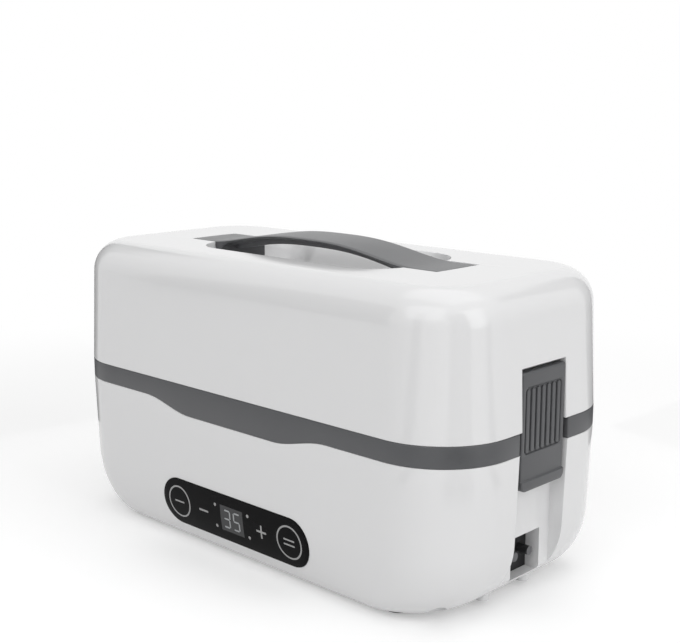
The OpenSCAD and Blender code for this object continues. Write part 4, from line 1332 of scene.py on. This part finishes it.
def floor_paper(tint):
    """Floor that keeps the shadow near the object and shows plain white to the camera further out."""
    lift, white_from, white_at = 0.28, 0.22, 0.55
    material, tree, body = new_material("FloorPaper", Base_Color=(*tint, 1), Roughness=0.6,
                                        Specular_IOR_Level=0.1, Emission_Color=WHITE)
    seen = seen_rays(tree)
    tree.links.new(calc(tree, "MULTIPLY", seen, lift), body.inputs["Emission Strength"])
    away = add(tree, "ShaderNodeVectorMath", [(object_place(tree), 0)], operation="LENGTH")
    far = add(tree, "ShaderNodeMapRange", [(away.outputs["Value"], "Value")], From_Min=white_from,
              From_Max=white_at, interpolation_type="SMOOTHSTEP")
    mask = calc(tree, "MULTIPLY", far.outputs[0], seen)
    blend(tree, mask, body, add(tree, "ShaderNodeEmission", Strength=1.0), "Material Output")
    return material


def card_form(bm, half, on_floor):
    """Upright card and, where asked, a wedge along the floor up to it."""
    away, height, start, thick, above_floor = 1.1, 0.9, 0.24, 0.005, 0.001
    add_block(bm, (-half, away - thick, 0), (half, away + thick, height))
    if on_floor:
        near = half * start / away
        wedge = [(-near, start), (near, start), (half, away), (-half, away)]
        add_prism(bm, wedge, upright(above_floor), 2 * above_floor)


def dark_card(turn, half, on_floor):
    """Dark card that only polished faces show, turned round the object by an angle in degrees."""
    card = painted(solid("card", card_form, half, on_floor),
                   surface("DarkCard", (0.015, 0.015, 0.015), 0.9, 400))
    card.data.transform(Matrix.Rotation(math.radians(turn), 4, "Z"))
    card.visible_camera = card.visible_diffuse = card.visible_shadow = False


def build_stage():
    stage = settings("stage")
    scene = bpy.context.scene
    floor = mesh_object(
        "floor", lambda bm: bmesh.ops.create_grid(bm, x_segments=8, y_segments=8, size=6.0))
    painted(floor, floor_paper(stage.floor_colour))
    for card in ((-168, 0.12, True), (-112, 0.26, True), (-74, 0.08, True), (-14, 0.26, True),
                 (84, 0.28, True), (138, 0.20, False)):
        dark_card(*card)

    world = scene.world = bpy.data.worlds.new("SoftRoom")
    world.use_nodes = True
    tree = world.node_tree
    light = tree.nodes["Background"]
    light.inputs["Color"].default_value = WHITE
    light.inputs["Strength"].default_value = stage.world_strength
    blend(tree, seen_rays(tree), light, add(tree, "ShaderNodeBackground", Color=WHITE, Strength=1.0),
          "World Output")

    lamp("key", (0.25, -0.75, 0.75), (0.9, 0.7), stage.key_power)
    lamp("side", (0.95, 0.05, 0.45), (0.5, 0.8), stage.side_power)
    lamp("top", (0, 0.15, 1.0), (1.0, 0.8), stage.top_power)

    data = bpy.data.cameras.new("camera")
    data.lens, data.sensor_width, data.clip_start = stage.lens, 36, 0.01
    camera = scene.camera = new_object("camera", data)
    camera.location = stage.camera_place
    camera.rotation_euler = facing(stage.camera_place, stage.camera_aim)
    scene.view_settings.view_transform = "Standard"


# ---- add-on

class LUNCHBOX_OT_base(Operator):
    """Build the white base with its channels, socket recess and catches"""
    bl_idname = "lunchbox.base"
    bl_label = "Base Shell"

    def execute(self, context):
        build_base()
        return {"FINISHED"}


class LUNCHBOX_OT_deck(Operator):
    """Build the grey belt and deck with its wells and pegs"""
    bl_idname = "lunchbox.deck"
    bl_label = "Deck and Belt"

    def execute(self, context):
        build_deck()
        return {"FINISHED"}


class LUNCHBOX_OT_lid(Operator):
    """Build the white lid with its finger recess"""
    bl_idname = "lunchbox.lid"
    bl_label = "Lid Shell"

    def execute(self, context):
        build_lid()
        return {"FINISHED"}


class LUNCHBOX_OT_handle(Operator):
    """Build the arched carrying handle"""
    bl_idname = "lunchbox.handle"
    bl_label = "Carrying Handle"

    def execute(self, context):
        build_handle()
        return {"FINISHED"}


class LUNCHBOX_OT_latches(Operator):
    """Build the two ribbed end latches"""
    bl_idname = "lunchbox.latches"
    bl_label = "Latches"

    def execute(self, context):
        build_latches()
        return {"FINISHED"}


class LUNCHBOX_OT_pots(Operator):
    """Build the two steel pots"""
    bl_idname = "lunchbox.pots"
    bl_label = "Pots"

    def execute(self, context):
        build_pots()
        return {"FINISHED"}


class LUNCHBOX_OT_panel(Operator):
    """Build the glossy control panel with its marks and display"""
    bl_idname = "lunchbox.panel"
    bl_label = "Control Panel"

    def execute(self, context):
        build_panel()
        return {"FINISHED"}


class LUNCHBOX_OT_inner(Operator):
    """Give the inner and small pieces their materials"""
    bl_idname = "lunchbox.inner"
    bl_label = "Inner Pieces"

    def execute(self, context):
        dress_cad()
        return {"FINISHED"}


class LUNCHBOX_OT_stage(Operator):
    """Set up the floor, the camera and the lamps"""
    bl_idname = "lunchbox.stage"
    bl_label = "Stage"

    def execute(self, context):
        build_stage()
        return {"FINISHED"}


OPERATORS = (
    LUNCHBOX_OT_base, LUNCHBOX_OT_deck, LUNCHBOX_OT_lid, LUNCHBOX_OT_handle, LUNCHBOX_OT_latches,
    LUNCHBOX_OT_pots, LUNCHBOX_OT_panel, LUNCHBOX_OT_inner, LUNCHBOX_OT_stage,
)


class LUNCHBOX_PT_sidebar(Panel):
    """Lists the settings and the steps that build the lunch box"""
    bl_idname = "LUNCHBOX_PT_sidebar"
    bl_label = "Electric Lunch Box"
    bl_space_type = "VIEW_3D"
    bl_region_type = "UI"
    bl_category = "Lunch Box"

    def draw(self, context):
        layout = self.layout
        for name, group in SETTINGS.items():
            box = layout.box()
            box.label(text=group.__doc__)
            for key in group.__annotations__:
                box.prop(getattr(context.scene, name), key)
        for operator in OPERATORS:
            layout.operator(operator.bl_idname)


def register():
    for name, group in SETTINGS.items():
        bpy.utils.register_class(group)
        setattr(bpy.types.Scene, name, PointerProperty(type=group))
    for operator in OPERATORS:
        bpy.utils.register_class(operator)
    bpy.utils.register_class(LUNCHBOX_PT_sidebar)


def unregister():
    bpy.utils.unregister_class(LUNCHBOX_PT_sidebar)
    for operator in reversed(OPERATORS):
        bpy.utils.unregister_class(operator)
    for name, group in reversed(SETTINGS.items()):
        delattr(bpy.types.Scene, name)
        bpy.utils.unregister_class(group)


def main():
    register()
    for operator in OPERATORS:
        group, name = operator.bl_idname.split(".")
        getattr(getattr(bpy.ops, group), name)()


if __name__ == "__main__":
    main()
